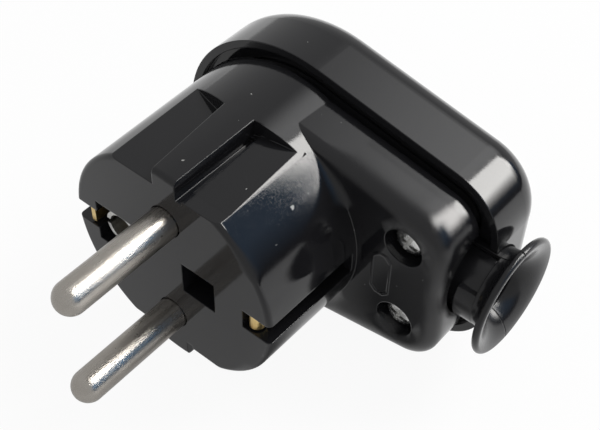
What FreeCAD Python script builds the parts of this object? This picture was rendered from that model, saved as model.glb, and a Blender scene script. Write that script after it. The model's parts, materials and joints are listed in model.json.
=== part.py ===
# Angled side-earth mains plug, 16 A, rewirable, as 23 separate pieces.
# Frame: millimetres, origin in the middle of the engagement face, pins towards -Y,
# cord towards +X, the line through the two pins is Z, +Z up.
import FreeCAD, Part
import math
import os
import Sketcher

os.makedirs("parts", exist_ok=True)
doc = FreeCAD.newDocument("side_earth_plug")
sheet = doc.addObject("Spreadsheet::Sheet", "dims")


class Size:
    """A length with its number and the spreadsheet expression that gives it."""

    def __init__(self, text, number):
        self.text = text
        self.number = number

    def __add__(self, other):
        other = size(other)
        return Size("(" + self.text + " + " + other.text + ")", self.number + other.number)

    def __sub__(self, other):
        other = size(other)
        return Size("(" + self.text + " - " + other.text + ")", self.number - other.number)

    def __mul__(self, other):
        other = size(other)
        return Size("(" + self.text + " * " + other.text + ")", self.number * other.number)

    def __neg__(self):
        return Size("(0 - " + self.text + ")", -self.number)


def size(value):
    """Takes a Size as it is and a plain number as a Size."""
    if isinstance(value, Size):
        return value
    return Size(repr(float(value)), float(value))


rows = []


def cell(alias, number, note):
    """Writes one driving dimension into the sheet and returns it as a Size."""
    row = str(len(rows) + 1)
    rows.append(alias)
    sheet.set("A" + row, alias)
    sheet.set("B" + row, repr(float(number)))
    sheet.set("C" + row, note)
    sheet.setAlias("B" + row, alias)
    return Size("dims." + alias, float(number))


def bind(thing, prop, value):
    """Binds a property to the sheet."""
    thing.setExpression(prop, size(value).text)


# Driving dimensions
PIN_R = cell("pin_r", 2.4, "radius of a round pin")
PIN_LENGTH = cell("pin_length", 19.0, "pin length in front of the engagement face")
PIN_Z = cell("pin_z", 9.5, "half of the pin spacing")
PIN_ROOT_R = cell("pin_root_r", 2.15, "radius of the pin where it passes the face")
PIN_ROOT_Y = cell("pin_root_y", -0.05, "y where the full radius of the pin ends")
PIN_HOLE_GAP = cell("pin_hole_gap", 0.15, "how much the face's holes are wider than the pins")
PIN_COLLAR_R = cell("pin_collar_r", 3.05, "radius of the pin's collar behind the face")
PILLAR_R = cell("pillar_r", 2.7, "radius of the terminal pillar behind the collar")
PILLAR_END = cell("pillar_end", 15.0, "y of the pillar's rear end")
TERMINAL_HEAD_R = cell("terminal_head_r", 2.65, "head radius of the terminal screws")
TERMINAL_HEAD_H = cell("terminal_head_h", 1.8, "head height of the terminal screws")
TERMINAL_OPEN = cell("terminal_open", 0.4, "how far a terminal screw stands open")
WIRE_HOLE_R = cell("wire_hole_r", 1.3, "radius of the wire hole through a pillar")
WIRE_HOLE_Y = cell("wire_hole_y", 11.2, "y of the wire hole")

FACE_R = cell("face_r", 18.1, "radius of the head just behind its front edge")
HEAD_DRAFT = cell("head_draft", 0.25, "how much wider the head is at the split")
HEAD_REAR_R = FACE_R + HEAD_DRAFT
HEAD_WALL = cell("head_wall", 2.8, "wall of the head")
FACE_EDGE = cell("face_edge", 0.75, "rounding of the head's front edge")
FACE_WALL = cell("face_wall", 3.2, "thickness of the engagement face")
SPLIT_Y = cell("split_y", 25.6, "rear edge of the front housing")
NECK_Y = cell("neck_y", 18.0, "front plane of the neck")
NECK_SUNK = cell("neck_sunk", 0.35, "how far the neck's round end lies inside the head")
NECK_R = HEAD_REAR_R - NECK_SUNK
NECK_END = cell("neck_end", 32.1, "x of the neck's end wall")
NECK_HALF = cell("neck_half", 13.6, "half width of the neck at its end")
NECK_CORNER = cell("neck_corner", 5.8, "corner radius of the neck outline")
NECK_EDGE = cell("neck_edge", 1.6, "rounding of the neck's front edge")
NECK_WALL = cell("neck_wall", 2.4, "thickness of the neck's front wall")
SPIGOT_IN = cell("spigot_in", 1.2, "how far the spigot stands inside the outline")
SPIGOT_LENGTH = cell("spigot_length", 3.4, "length of the spigot behind the split")
SPIGOT_WALL = cell("spigot_wall", 1.0, "wall of the spigot")

GUIDE_DEEP = cell("guide_deep", 2.65, "depth of the guides under the head's edge")
GUIDE_WALL = cell("guide_wall", 2.65, "wall between the guide floors and the cavity")
GUIDE_Z = FACE_R - GUIDE_DEEP
CAVITY_FLAT = GUIDE_Z - GUIDE_WALL
CAVITY_R = FACE_R - HEAD_WALL
GUIDE_HALF = cell("guide_half", 9.9, "half width of the guides, past the round wall")
GUIDE_INNER_END = cell("guide_inner_end", 15.2, "y of the guide's end beside the rib")
GUIDE_OUTER_END = cell("guide_outer_end", 17.0, "y of the guide's end at the round wall")
RIB_LEFT_FRONT = cell("rib_left_front", 1.6, "rib side away from the cord at the face")
RIB_LEFT_REAR = cell("rib_left_rear", 3.0, "rib side away from the cord at its rear")
RIB_RIGHT = cell("rib_right", 2.2, "rib side towards the cord")
GROOVE_WIDTH = cell("groove_width", 1.1, "width of the groove beside the rib")
GROOVE_DEEP = cell("groove_deep", 0.6, "depth of that groove under the guide floor")
GROOVE_END = cell("groove_end", 14.6, "y of the groove's end")

SLOT_HALF = cell("slot_half", 1.75, "half width of the side slots of the earth contacts")
SLOT_END = cell("slot_end", 17.0, "y where the side slots end")
SLOT_DEEP = cell("slot_deep", 4.9, "depth of the cord-side slot under the head's edge")
SLOT_FLOOR = FACE_R - SLOT_DEEP
WINDOW_IN = cell("window_in", 4.2, "how far the earth window's far side lies inside the head")
WINDOW_FAR = FACE_R - WINDOW_IN
WINDOW_NEAR = cell("window_near", 6.1, "near side of the earth window, towards -X")
WINDOW_HALF = cell("window_half", 3.8, "half height of the earth window")
WINDOW_OPEN = cell("window_open", 1.0, "gap between the window's wall and the earth strap")
SQUARE_NEAR = cell("square_near", 2.4, "near side of the square recess")
SQUARE_FAR = cell("square_far", 8.25, "far side of the square recess")
SQUARE_HALF = cell("square_half", 2.85, "half height of the square recess")
SQUARE_DEEP = cell("square_deep", 5.0, "depth of the square recess")
INNER_WALL = cell("inner_wall", 1.2, "wall round the recesses inside the head")

RETAINER_FRONT = cell("retainer_front", 6.6, "y of the retainer plate's front")
RETAINER_THICK = cell("retainer_thick", 2.0, "thickness of the retainer plate")
RETAINER_HALF_X = cell("retainer_half_x", 4.6, "half width of the retainer plate")
RETAINER_SCREW_X = cell("retainer_screw_x", 3.1, "distance of the retainer screw from the pin line")
RETAINER_TIP = cell("retainer_tip", 0.8, "how far behind the face wall that screw ends")
RETAINER_BOSS_R = cell("retainer_boss_r", 2.2, "radius of that screw's boss")
RETAINER_GAP = cell("retainer_gap", 0.1, "clearance of the plate round the pillars")

STRAP_Y = cell("strap_y", 8.7, "front of the earth strap's base")
STRAP_THICK = cell("strap_thick", 0.8, "thickness of the earth strap")
STRAP_HALF = cell("strap_half", 3.0, "half width of the strap's base")
LEG_HALF = cell("leg_half", 1.4, "half width of the strap's legs")
LEG_FAR_IN = cell("leg_far_in", 2.5, "how far the leg away from the cord lies inside the head")
LEG_CORD_IN = cell("leg_cord_in", 4.65, "how far the inner side of the cord-side leg lies inside the head")
LEG_FAR_X = FACE_R - LEG_FAR_IN
LEG_CORD_X = FACE_R - LEG_CORD_IN
LEG_TIP_Y = cell("leg_tip_y", 0.4, "y of the legs' tips")
FOLD_R = cell("fold_r", 1.1, "outer radius of the folded tip on the cord side")
FOLD_LEG = cell("fold_leg", 0.8, "length of the folded-back part")
SOCKET_X = cell("socket_x", 10.0, "distance of the earth socket from the pin line")
SOCKET_BORE = cell("socket_bore", 2.35, "bore radius of the rolled earth socket")
SOCKET_WALL = cell("socket_wall", 0.65, "sheet thickness of the earth socket")
SOCKET_FRONT = cell("socket_front", 0.9, "y of the socket's mouth")
SOCKET_BORE_END = cell("socket_bore_end", 6.9, "y where the socket's bore ends")
SOCKET_SLIT = cell("socket_slit", 0.9, "width of the slit along the socket")
STRAP_PAST_SOCKET = cell("strap_past_socket", 2.6, "how far the broad base reaches past the socket's axis")
STRAP_PAST_TERMINAL = cell("strap_past_terminal", 3.2, "how far it reaches past the earth terminal's axis")
RIVET_R = cell("rivet_r", 1.0, "shank radius of the socket rivet")
RIVET_HEAD_R = cell("rivet_head_r", 1.8, "head radius of the socket rivet")
RIVET_FRONT_H = cell("rivet_front_h", 0.53, "height of the rivet's front head")
RIVET_REAR_H = cell("rivet_rear_h", 0.77, "height of the rivet's rear head")
RIVET_PLAY = cell("rivet_play", 0.02, "play under the rivet's front head")
RIVET_GAP = cell("rivet_gap", 0.03, "play round the rivet and under its rear head")
RIVET_SEAT_GAP = cell("rivet_seat_gap", 0.1, "clearance round the rivet's front head")
EARTH_TERMINAL_X = cell("earth_terminal_x", 8.0, "x of the earth terminal")
EARTH_NUT_HALF = cell("earth_nut_half", 2.9, "half width of the earth terminal's nut")
EARTH_NUT_THICK = cell("earth_nut_thick", 1.9, "thickness of the earth terminal's nut")
SADDLE_HALF = cell("saddle_half", 3.0, "half width of the earth saddle washer")
SADDLE_THICK = cell("saddle_thick", 0.9, "thickness of the earth saddle washer")
SADDLE_OPEN = cell("saddle_open", 1.2, "gap between the strap and the saddle washer")
SADDLE_LIP = cell("saddle_lip", 0.7, "width of the washer's turned-down edges")
SADDLE_LIP_HIGH = cell("saddle_lip_high", 0.9, "how far those edges stand down")

SCREW_R = cell("screw_r", 1.45, "shank radius of the M3 screws")
SCREW_HEAD_R = cell("screw_head_r", 2.5, "head radius of the M3 screws")
SCREW_HEAD_H = cell("screw_head_h", 2.0, "head height of the M3 screws")
THREAD_GAP = cell("thread_gap", 0.05, "clearance between a screw and its thread")
HOLE_GAP = cell("hole_gap", 0.2, "clearance between a screw and a plain hole")
SEAT_GAP = cell("seat_gap", 0.05, "play between pieces that lie on each other")
SINK = cell("sink", 0.5, "how far solids that are joined reach into each other")
PAST = cell("past", 1.0, "how far a cut runs past the face that it opens")
ROOTED = cell("rooted", 1.0, "how far walls and bosses reach into what they stand on")
WALL_OPEN = cell("wall_open", 0.1, "gap between an inner wall and the piece above it")
RUN_OUT = cell("run_out", 0.4, "how far a thread goes on past its screw")
DRIVER_SLOT = cell("driver_slot", 0.8, "width of a screw's driver slot")
DRIVER_DEEP = cell("driver_deep", 0.9, "depth of a screw's driver slot")
COVER_SCREW_X = cell("cover_screw_x", 25.4, "x of the two cover screws")
COVER_SCREW_IN = cell("cover_screw_in", 6.05, "how far the cover screws lie inside the neck's side")
COVER_SCREW_Z = NECK_HALF - COVER_SCREW_IN
COVER_SCREW_Y = cell("cover_screw_y", 19.0, "y of the tops of their heads")
COVER_HEAD_R = cell("cover_head_r", 2.25, "head radius of the cover screws")
COVER_SCREW_END = cell("cover_screw_end", 31.5, "y of the cover screws' ends")
RECESS_R = cell("recess_r", 3.0, "radius of the recess round a cover screw head")
RECESS_WALL = cell("recess_wall", 1.0, "wall round that recess")
RECESS_FLOOR = cell("recess_floor", 1.6, "wall behind a cover screw head")
HEAD_PLAY = cell("head_play", 0.03, "play behind a cover screw head")
SCREW_PASS = cell("screw_pass", 0.25, "clearance round the cover screws")
CROSS_LENGTH = cell("cross_length", 3.1, "length of the arms of a cross recess")
CROSS_WIDTH = cell("cross_width", 0.62, "width of those arms")
CROSS_DEEP = cell("cross_deep", 1.6, "depth of the cross recess")
CROSS_TURN = 20.0
BOSS_R = cell("boss_r", 3.0, "radius of the screw bosses")
INSERT_R = cell("insert_r", 2.3, "radius of the brass inserts in the cover")
INSERT_LENGTH = cell("insert_length", 5.6, "length of the brass inserts")
INSERT_GAP = cell("insert_gap", 0.02, "play round the inserts")
INSERT_SUNK = cell("insert_sunk", 0.1, "how far the inserts lie under their bosses' tops")
COVER_BOSS_Y = cell("cover_boss_y", 25.9, "y of the tops of the cover's bosses")
COVER_BOSS_R = cell("cover_boss_r", 3.1, "radius of the cover's bosses")
BOSS_OPEN = cell("boss_open", 0.4, "gap between the housing's and the cover's bosses")

CLAMP_X = cell("clamp_x", 18.2, "x of the cord clamp")
CLAMP_Z = cell("clamp_z", 7.9, "half spacing of the clamp screws")
CLAMP_HALF_X = cell("clamp_half_x", 2.5, "half width of the clamp bar")
CLAMP_HALF_Z = cell("clamp_half_z", 10.6, "half length of the clamp bar")
CLAMP_BAR_Y = cell("clamp_bar_y", 28.2, "front of the clamp bar")
CLAMP_BAR_THICK = cell("clamp_bar_thick", 3.4, "thickness of the clamp bar")
CLAMP_SCREW_END = cell("clamp_screw_end", 23.0, "y of the clamp screws' ends")
CORD_Y = cell("cord_y", 26.4, "y of the cord's axis")
CORD_SEAT_R = cell("cord_seat_r", 4.1, "radius of the clamp's cord seat")
CORD_SEAT_HALF = cell("cord_seat_half", 4.6, "half width of the seat under the cord")
CORD_GAP = cell("cord_gap", 0.2, "clearance between that seat and the cord")
CLAMP_BOSS_R = cell("clamp_boss_r", 2.6, "radius of the clamp's bosses")
CLAMP_OPEN = cell("clamp_open", 0.6, "gap between the clamp's bosses and its bar")

RIM_Y = cell("rim_y", 26.45, "front rim of the rear cover")
RIM_WALL = cell("rim_wall", 1.2, "wall at the cover's rim")
RIM_GROOVE = cell("rim_groove", 1.2, "depth of the shadow groove behind the rim")
COVER_BACK = cell("cover_back", 38.0, "y of the cover's back")
COVER_FLOOR = cell("cover_floor", 35.6, "y of the cover's inner floor")
COVER_LEDGE = cell("cover_ledge", 2.2, "how far the cover stands out past the head")
COVER_END_LEDGE = cell("cover_end_ledge", 2.6, "how far it stands out past the neck's end")
COVER_SIDE_LEDGE = cell("cover_side_ledge", 2.4, "how far it stands out past the neck's side there")
COVER_R = HEAD_REAR_R + COVER_LEDGE
COVER_END = NECK_END + COVER_END_LEDGE
COVER_HALF = NECK_HALF + COVER_SIDE_LEDGE
COVER_CORNER = cell("cover_corner", 9.4, "corner radius of the cover outline")
COVER_EDGE = cell("cover_edge", 4.8, "rounding of the cover's back edge")
SPIGOT_GAP = cell("spigot_gap", 0.15, "clearance between the spigot and the cover")

GUARD_NECK_R = cell("guard_neck_r", 5.9, "neck radius of the cord guard")
GUARD_WALL = cell("guard_wall", 1.4, "wall of the cord guard's neck")
GUARD_BORE = GUARD_NECK_R - GUARD_WALL
GUARD_THIN_R = cell("guard_thin_r", 5.2, "radius of the thinner part of the front neck")
GUARD_START = cell("guard_start", 28.6, "x of the guard's inner end")
GUARD_COLLAR = cell("guard_collar", 1.2, "thickness of the guard's collar plate")
GUARD_COLLAR_Z = cell("guard_collar_z", 8.5, "half length of the collar plate")
GUARD_COLLAR_Y = cell("guard_collar_y", 4.8, "half width of the collar plate")
GUARD_FLARE_X = cell("guard_flare_x", 35.4, "x where the flare begins")
GUARD_FLARE_R = cell("guard_flare_r", 2.2, "radius of the flare's back")
GUARD_LIP_R = cell("guard_lip_r", 0.55, "radius of the rolled lip")
GUARD_LIP_RADIUS = cell("guard_lip_radius", 8.45, "distance of the lip's middle from the axis")
GUARD_MOUTH_R = cell("guard_mouth_r", 4.6, "radius of the flare's inside")
GUARD_MOUTH_DEEP = cell("guard_mouth_deep", 2.99, "depth of the flare's inside")
GUARD_TURN = 179.2
GUARD_SEAM = cell("guard_seam", 0.04, "half of the seam between the guard's halves")
GUARD_LUG_X = cell("guard_lug_x", 32.6, "x where the guard's stop lug begins")
GUARD_LUG_Z = cell("guard_lug_z", 2.7, "z of the stop lug's upper side")
GUARD_LUG_IN = cell("guard_lug_in", 0.3, "how far the lug starts outside the guard's bore")
GUARD_LUG_SINK = cell("guard_lug_sink", 0.1, "how far the lug reaches into the flare")
GUARD_GAP = cell("guard_gap", 0.2, "clearance of the guard's neck in the cover")
COLLAR_GAP = cell("collar_gap", 0.12, "clearance round the guard's collar")
END_CUT = cell("end_cut", 3.4, "how far the end wall's openings reach in")
ARCH_R = cell("arch_r", 7.0, "radius of the end wall's opening")
ARCH_Y = cell("arch_y", 26.6, "y of the middle of that opening")
ARCH_Z = cell("arch_z", 1.6, "z of the middle of that opening")
MARK_HALF_X = cell("mark_half_x", 1.6, "half width of the bare octagon frame")
MARK_HALF_Z = cell("mark_half_z", 4.1, "half length of the bare octagon frame")
MARK_X = cell("mark_x", 22.4, "x of the octagon frame")
MARK_CUT = cell("mark_cut", 0.9, "cut of the octagon's corners")
MARK_LINE = cell("mark_line", 0.35, "line width of the octagon frame")
MARK_HIGH = cell("mark_high", 0.12, "height of the octagon frame")
doc.recompute()


# Helpers for bodies, sketches and features
def new_body(label):
    body = doc.addObject("PartDesign::Body", label)
    body.Label = label
    return body


def origin_plane(body, role):
    for item in body.Origin.OriginFeatures:
        if item.Role == role:
            return item
    raise ValueError(role)


def sketch_on(body, name, role, offset):
    """A sketch on one of the body's own planes, moved along the plane's normal."""
    sketch = body.newObject("Sketcher::SketchObject", name)
    sketch.AttachmentSupport = [(origin_plane(body, role), "")]
    sketch.MapMode = "FlatFace"
    bind(sketch, "AttachmentOffset.Base.z", offset)
    return sketch


def across(body, name, y):
    """A sketch in the plane y, its x being X and its y being Z."""
    return sketch_on(body, name, "XZ_Plane", -size(y))


def held(sketch, kind, geometry, point, value):
    """Holds one coordinate of a point to a Size."""
    value = size(value)
    index = sketch.addConstraint(Sketcher.Constraint(kind, -1, 1, geometry, point, value.number))
    sketch.setExpression("Constraints[" + str(index) + "]", value.text)


def held_radius(sketch, geometry, value):
    value = size(value)
    index = sketch.addConstraint(Sketcher.Constraint("Radius", geometry, value.number))
    sketch.setExpression("Constraints[" + str(index) + "]", value.text)


def polygon(sketch, corners):
    """A closed polygon whose corners are pairs of Sizes."""
    corners = [(size(a), size(b)) for a, b in corners]
    first = sketch.GeometryCount
    count = len(corners)
    for i in range(count):
        a = corners[i]
        b = corners[(i + 1) % count]
        start = FreeCAD.Vector(a[0].number, a[1].number, 0)
        end = FreeCAD.Vector(b[0].number, b[1].number, 0)
        sketch.addGeometry(Part.LineSegment(start, end), False)
    for i in range(count):
        following = first + (i + 1) % count
        sketch.addConstraint(Sketcher.Constraint("Coincident", first + i, 2, following, 1))
    for i in range(count):
        held(sketch, "DistanceX", first + i, 1, corners[i][0])
        held(sketch, "DistanceY", first + i, 1, corners[i][1])


def rectangle(sketch, left, right, low, high):
    polygon(sketch, [(left, low), (right, low), (right, high), (left, high)])


def circle(sketch, x, y, r):
    x = size(x)
    y = size(y)
    r = size(r)
    centre = FreeCAD.Vector(x.number, y.number, 0)
    index = sketch.addGeometry(Part.Circle(centre, FreeCAD.Vector(0, 0, 1), r.number), False)
    held(sketch, "DistanceX", index, 3, x)
    held(sketch, "DistanceY", index, 3, y)
    held_radius(sketch, index, r)


def round_end(sketch, radius, end, half, corner):
    """The plan outline: a round end about the origin, straight sides and rounded far corners."""
    radius = size(radius)
    end = size(end)
    half = size(half)
    corner = size(corner)
    cx = end.number - corner.number
    cz = half.number - corner.number
    turn = math.atan2(cz, cx) + math.acos((radius.number - corner.number) / math.hypot(cx, cz))
    up = FreeCAD.Vector(0, 0, 1)
    mid = FreeCAD.Vector(0, 0, 0)

    def at(x, z, r, angle):
        return FreeCAD.Vector(x + r * math.cos(angle), z + r * math.sin(angle), 0)

    big = Part.ArcOfCircle(Part.Circle(mid, up, radius.number), turn, 2 * math.pi - turn)
    lower_line = Part.LineSegment(at(0, 0, radius.number, -turn), at(cx, -cz, corner.number, -turn))
    lower_centre = FreeCAD.Vector(cx, -cz, 0)
    lower = Part.ArcOfCircle(Part.Circle(lower_centre, up, corner.number), -turn, 0)
    end_line = Part.LineSegment(at(cx, -cz, corner.number, 0), at(cx, cz, corner.number, 0))
    upper_centre = FreeCAD.Vector(cx, cz, 0)
    upper = Part.ArcOfCircle(Part.Circle(upper_centre, up, corner.number), 0, turn)
    upper_line = Part.LineSegment(at(cx, cz, corner.number, turn), at(0, 0, radius.number, turn))
    sketch.addGeometry([big, lower_line, lower, end_line, upper, upper_line], False)
    for a, b in ((0, 1), (1, 2), (2, 3), (3, 4), (4, 5)):
        sketch.addConstraint(Sketcher.Constraint("Tangent", a, 2, b, 1))
    sketch.addConstraint(Sketcher.Constraint("Tangent", 5, 2, 0, 1))
    sketch.addConstraint(Sketcher.Constraint("Coincident", 0, 3, -1, 1))
    held_radius(sketch, 0, radius)
    held_radius(sketch, 2, corner)
    held_radius(sketch, 4, corner)
    held(sketch, "DistanceX", 2, 3, end - corner)
    held(sketch, "DistanceX", 4, 3, end - corner)
    held(sketch, "DistanceY", 2, 3, corner - half)
    held(sketch, "DistanceY", 4, 3, half - corner)


def outline(sketch, grow):
    """The front housing's outline, grown or shrunk evenly."""
    round_end(sketch, HEAD_REAR_R + grow, NECK_END + grow, NECK_HALF + grow, NECK_CORNER + grow)


def pad(body, sketch, length, backwards=True):
    """Adds the sketch's area, towards +Y for sketches across Y."""
    feature = body.newObject("PartDesign::Pad", sketch.Name + "_pad")
    feature.Profile = sketch
    bind(feature, "Length", length)
    feature.Reversed = backwards
    sketch.Visibility = False
    doc.recompute()
    return feature


def pocket(body, sketch, length, backwards=False):
    """Takes the sketch's area away, towards +Y for sketches across Y."""
    before = body.Shape.Volume
    feature = body.newObject("PartDesign::Pocket", sketch.Name + "_pocket")
    feature.Profile = sketch
    bind(feature, "Length", length)
    feature.Reversed = backwards
    doc.recompute()
    if not body.Shape.Volume < before - 0.01:
        raise ValueError(sketch.Name + " takes nothing away")
    return feature


def rounded(body, name, radius, picked):
    """Rounds the edges of the tip that the test picks."""
    tip = body.Tip
    names = []
    for index, edge in enumerate(tip.Shape.Edges, 1):
        if picked(edge):
            names.append("Edge" + str(index))
    if not names:
        raise ValueError(name + " finds no edge")
    feature = body.newObject("PartDesign::Fillet", name)
    feature.Base = (tip, names)
    bind(feature, "Radius", radius)
    doc.recompute()
    return feature


def lies_at(edge, y):
    box = edge.BoundBox
    return abs(box.YMin - y) < 0.01 and abs(box.YMax - y) < 0.01


def mirrored(body, name, originals):
    """Repeats features on the other side of the plane z = 0."""
    feature = body.newObject("PartDesign::Mirrored", name)
    feature.Originals = originals
    feature.MirrorPlane = (origin_plane(body, "XY_Plane"), [""])
    body.Tip = feature
    doc.recompute()
    return feature


# Helpers for pieces made of turned and straight primitives
TURN_TO_Y = FreeCAD.Rotation(FreeCAD.Vector(1, 0, 0), -90)
TURN_TO_X = FreeCAD.Rotation(FreeCAD.Vector(0, 1, 0), 90)


def place(thing, x, y, z, turn=None):
    if turn is not None:
        thing.Placement = FreeCAD.Placement(FreeCAD.Vector(0, 0, 0), turn)
    bind(thing, "Placement.Base.x", x)
    bind(thing, "Placement.Base.y", y)
    bind(thing, "Placement.Base.z", z)
    return thing


def rod(name, r, x, z, start, end):
    """A cylinder along Y."""
    thing = doc.addObject("Part::Cylinder", name)
    bind(thing, "Radius", r)
    bind(thing, "Height", size(end) - start)
    return place(thing, x, start, z, TURN_TO_Y)


def cross_rod(name, r, y, z, start, end):
    """A cylinder along X."""
    thing = doc.addObject("Part::Cylinder", name)
    bind(thing, "Radius", r)
    bind(thing, "Height", size(end) - start)
    return place(thing, start, y, z, TURN_TO_X)


def block(name, left, right, front, rear, low, high):
    thing = doc.addObject("Part::Box", name)
    bind(thing, "Length", size(right) - left)
    bind(thing, "Width", size(rear) - front)
    bind(thing, "Height", size(high) - low)
    return place(thing, left, front, low)


def ball(name, r, x, y, z):
    thing = doc.addObject("Part::Sphere", name)
    bind(thing, "Radius", r)
    return place(thing, x, y, z)


def joined(name, things):
    whole = doc.addObject("Part::MultiFuse", name)
    whole.Shapes = things
    whole.Refine = True
    whole.Label = name
    return whole


def without(name, base, tools):
    if len(tools) == 1:
        tool = tools[0]
    else:
        tool = joined(name + "_tools", tools)
    whole = doc.addObject("Part::Cut", name)
    whole.Base = base
    whole.Tool = tool
    whole.Label = name
    return whole


def driver_slot(name, head, x, z, top):
    """The slot across a screw head whose top lies at y = top."""
    return block(name + "_slot", size(x) - head - PAST, size(x) + head + PAST, size(top) - DRIVER_DEEP,
                 size(top) + PAST, size(z) - DRIVER_SLOT * 0.5, size(z) + DRIVER_SLOT * 0.5)


def round_plate(name, x, half_x, front, rear, half_z):
    """A plate along Z with half-round ends."""
    middle = block(name + "_middle", size(x) - half_x, size(x) + half_x, front, rear,
                   half_x - half_z, size(half_z) - half_x)
    upper = rod(name + "_upper_end", half_x, x, size(half_z) - half_x, front, rear)
    lower = rod(name + "_lower_end", half_x, x, size(half_x) - half_z, front, rear)
    return [middle, upper, lower]


nodes = []

# Front housing: head, neck, spigot, guides, slots and bosses in one moulding
housing = new_body("front_housing")
sketch = across(housing, "neck_outline", NECK_Y)
round_end(sketch, NECK_R, NECK_END, NECK_HALF, NECK_CORNER)
pad(housing, sketch, SPLIT_Y - NECK_Y)
rounded(housing, "neck_front_edge", NECK_EDGE, lambda edge: lies_at(edge, NECK_Y.number))

sketch = sketch_on(housing, "head_profile", "XY_Plane", 0)
middle = FreeCAD.Vector(0, 0, 0)
edge_start = FreeCAD.Vector(FACE_R.number - FACE_EDGE.number, 0, 0)
edge_middle = FreeCAD.Vector(FACE_R.number - FACE_EDGE.number, FACE_EDGE.number, 0)
edge_end = FreeCAD.Vector(FACE_R.number, FACE_EDGE.number, 0)
rear_edge = FreeCAD.Vector(HEAD_REAR_R.number, SPLIT_Y.number, 0)
rear_middle = FreeCAD.Vector(0, SPLIT_Y.number, 0)
edge_round = Part.Circle(edge_middle, FreeCAD.Vector(0, 0, 1), FACE_EDGE.number)
sketch.addGeometry(Part.LineSegment(middle, edge_start), False)
sketch.addGeometry(Part.ArcOfCircle(edge_round, -math.pi / 2, 0), False)
sketch.addGeometry(Part.LineSegment(edge_end, rear_edge), False)
sketch.addGeometry(Part.LineSegment(rear_edge, rear_middle), False)
sketch.addGeometry(Part.LineSegment(rear_middle, middle), False)
for a, b in ((0, 1), (1, 2), (2, 3), (3, 4), (4, 0)):
    sketch.addConstraint(Sketcher.Constraint("Coincident", a, 2, b, 1))
sketch.addConstraint(Sketcher.Constraint("Coincident", 0, 1, -1, 1))
held(sketch, "DistanceX", 0, 2, FACE_R - FACE_EDGE)
held(sketch, "DistanceY", 0, 2, 0)
held(sketch, "DistanceX", 1, 3, FACE_R - FACE_EDGE)
held(sketch, "DistanceY", 1, 3, FACE_EDGE)
held(sketch, "DistanceY", 1, 2, FACE_EDGE)
held(sketch, "DistanceX", 2, 2, HEAD_REAR_R)
held(sketch, "DistanceY", 2, 2, SPLIT_Y)
held(sketch, "DistanceX", 3, 2, 0)
held(sketch, "DistanceY", 3, 2, SPLIT_Y)
head = housing.newObject("PartDesign::Revolution", "head")
head.Profile = sketch
head.ReferenceAxis = (sketch, ["V_Axis"])
head.Angle = 360
doc.recompute()

sketch = across(housing, "spigot_outline", SPLIT_Y - SINK)
outline(sketch, -SPIGOT_IN)
pad(housing, sketch, SPIGOT_LENGTH + SINK)

room_x = PIN_COLLAR_R + WALL_OPEN
room_z = PIN_Z + PIN_COLLAR_R + WALL_OPEN
sketch = across(housing, "contact_room", FACE_WALL)
rectangle(sketch, -room_x, room_x, -room_z, room_z)
pocket(housing, sketch, SPLIT_Y)
earth_room_z = EARTH_NUT_HALF + WALL_OPEN
sketch = across(housing, "earth_room", FACE_WALL)
rectangle(sketch, -(SOCKET_X + SOCKET_BORE + SOCKET_WALL + WALL_OPEN),
          EARTH_TERMINAL_X + EARTH_NUT_HALF + WALL_OPEN, -earth_room_z, earth_room_z)
pocket(housing, sketch, SPLIT_Y)
sketch = across(housing, "head_cavity", FACE_WALL)
flat = CAVITY_FLAT
radius = CAVITY_R
angle = math.asin(flat.number / radius.number)
side = radius.number * math.cos(angle)
ring = Part.Circle(FreeCAD.Vector(0, 0, 0), FreeCAD.Vector(0, 0, 1), radius.number)
sketch.addGeometry(Part.ArcOfCircle(ring, -angle, angle), False)
left_up = FreeCAD.Vector(-side, flat.number, 0)
right_up = FreeCAD.Vector(side, flat.number, 0)
left_down = FreeCAD.Vector(-side, -flat.number, 0)
right_down = FreeCAD.Vector(side, -flat.number, 0)
sketch.addGeometry(Part.LineSegment(right_up, left_up), False)
sketch.addGeometry(Part.ArcOfCircle(ring, math.pi - angle, math.pi + angle), False)
sketch.addGeometry(Part.LineSegment(left_down, right_down), False)
for a, b in ((0, 1), (1, 2), (2, 3), (3, 0)):
    sketch.addConstraint(Sketcher.Constraint("Coincident", a, 2, b, 1))
sketch.addConstraint(Sketcher.Constraint("Coincident", 0, 3, -1, 1))
sketch.addConstraint(Sketcher.Constraint("Coincident", 2, 3, -1, 1))
sketch.addConstraint(Sketcher.Constraint("Horizontal", 1))
sketch.addConstraint(Sketcher.Constraint("Horizontal", 3))
held_radius(sketch, 0, radius)
held_radius(sketch, 2, radius)
held(sketch, "DistanceY", 1, 1, flat)
held(sketch, "DistanceY", 3, 1, -flat)
pocket(housing, sketch, SPLIT_Y + SPIGOT_LENGTH)

sketch = across(housing, "neck_cavity", NECK_Y + NECK_WALL)
outline(sketch, -(SPIGOT_IN + SPIGOT_WALL))
pocket(housing, sketch, SPLIT_Y)

sketch = across(housing, "cord_slot_wall", ROOTED)
rectangle(sketch, SLOT_FLOOR - INNER_WALL, CAVITY_R + ROOTED,
          -(SLOT_HALF + INNER_WALL), SLOT_HALF + INNER_WALL)
pad(housing, sketch, STRAP_Y - WALL_OPEN - ROOTED)
sketch = across(housing, "window_wall", ROOTED)
rectangle(sketch, -(CAVITY_R + ROOTED), INNER_WALL - WINDOW_NEAR,
          -(WINDOW_HALF + INNER_WALL), WINDOW_HALF + INNER_WALL)
pad(housing, sketch, STRAP_Y - WINDOW_OPEN - ROOTED)
sketch = across(housing, "square_wall", ROOTED)
rectangle(sketch, SQUARE_NEAR - INNER_WALL, SQUARE_FAR + INNER_WALL,
          -(SQUARE_HALF + INNER_WALL), SQUARE_HALF + INNER_WALL)
pad(housing, sketch, RETAINER_FRONT - WALL_OPEN - ROOTED)
sketch = across(housing, "retainer_boss", ROOTED)
circle(sketch, -RETAINER_SCREW_X, 0, RETAINER_BOSS_R)
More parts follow.
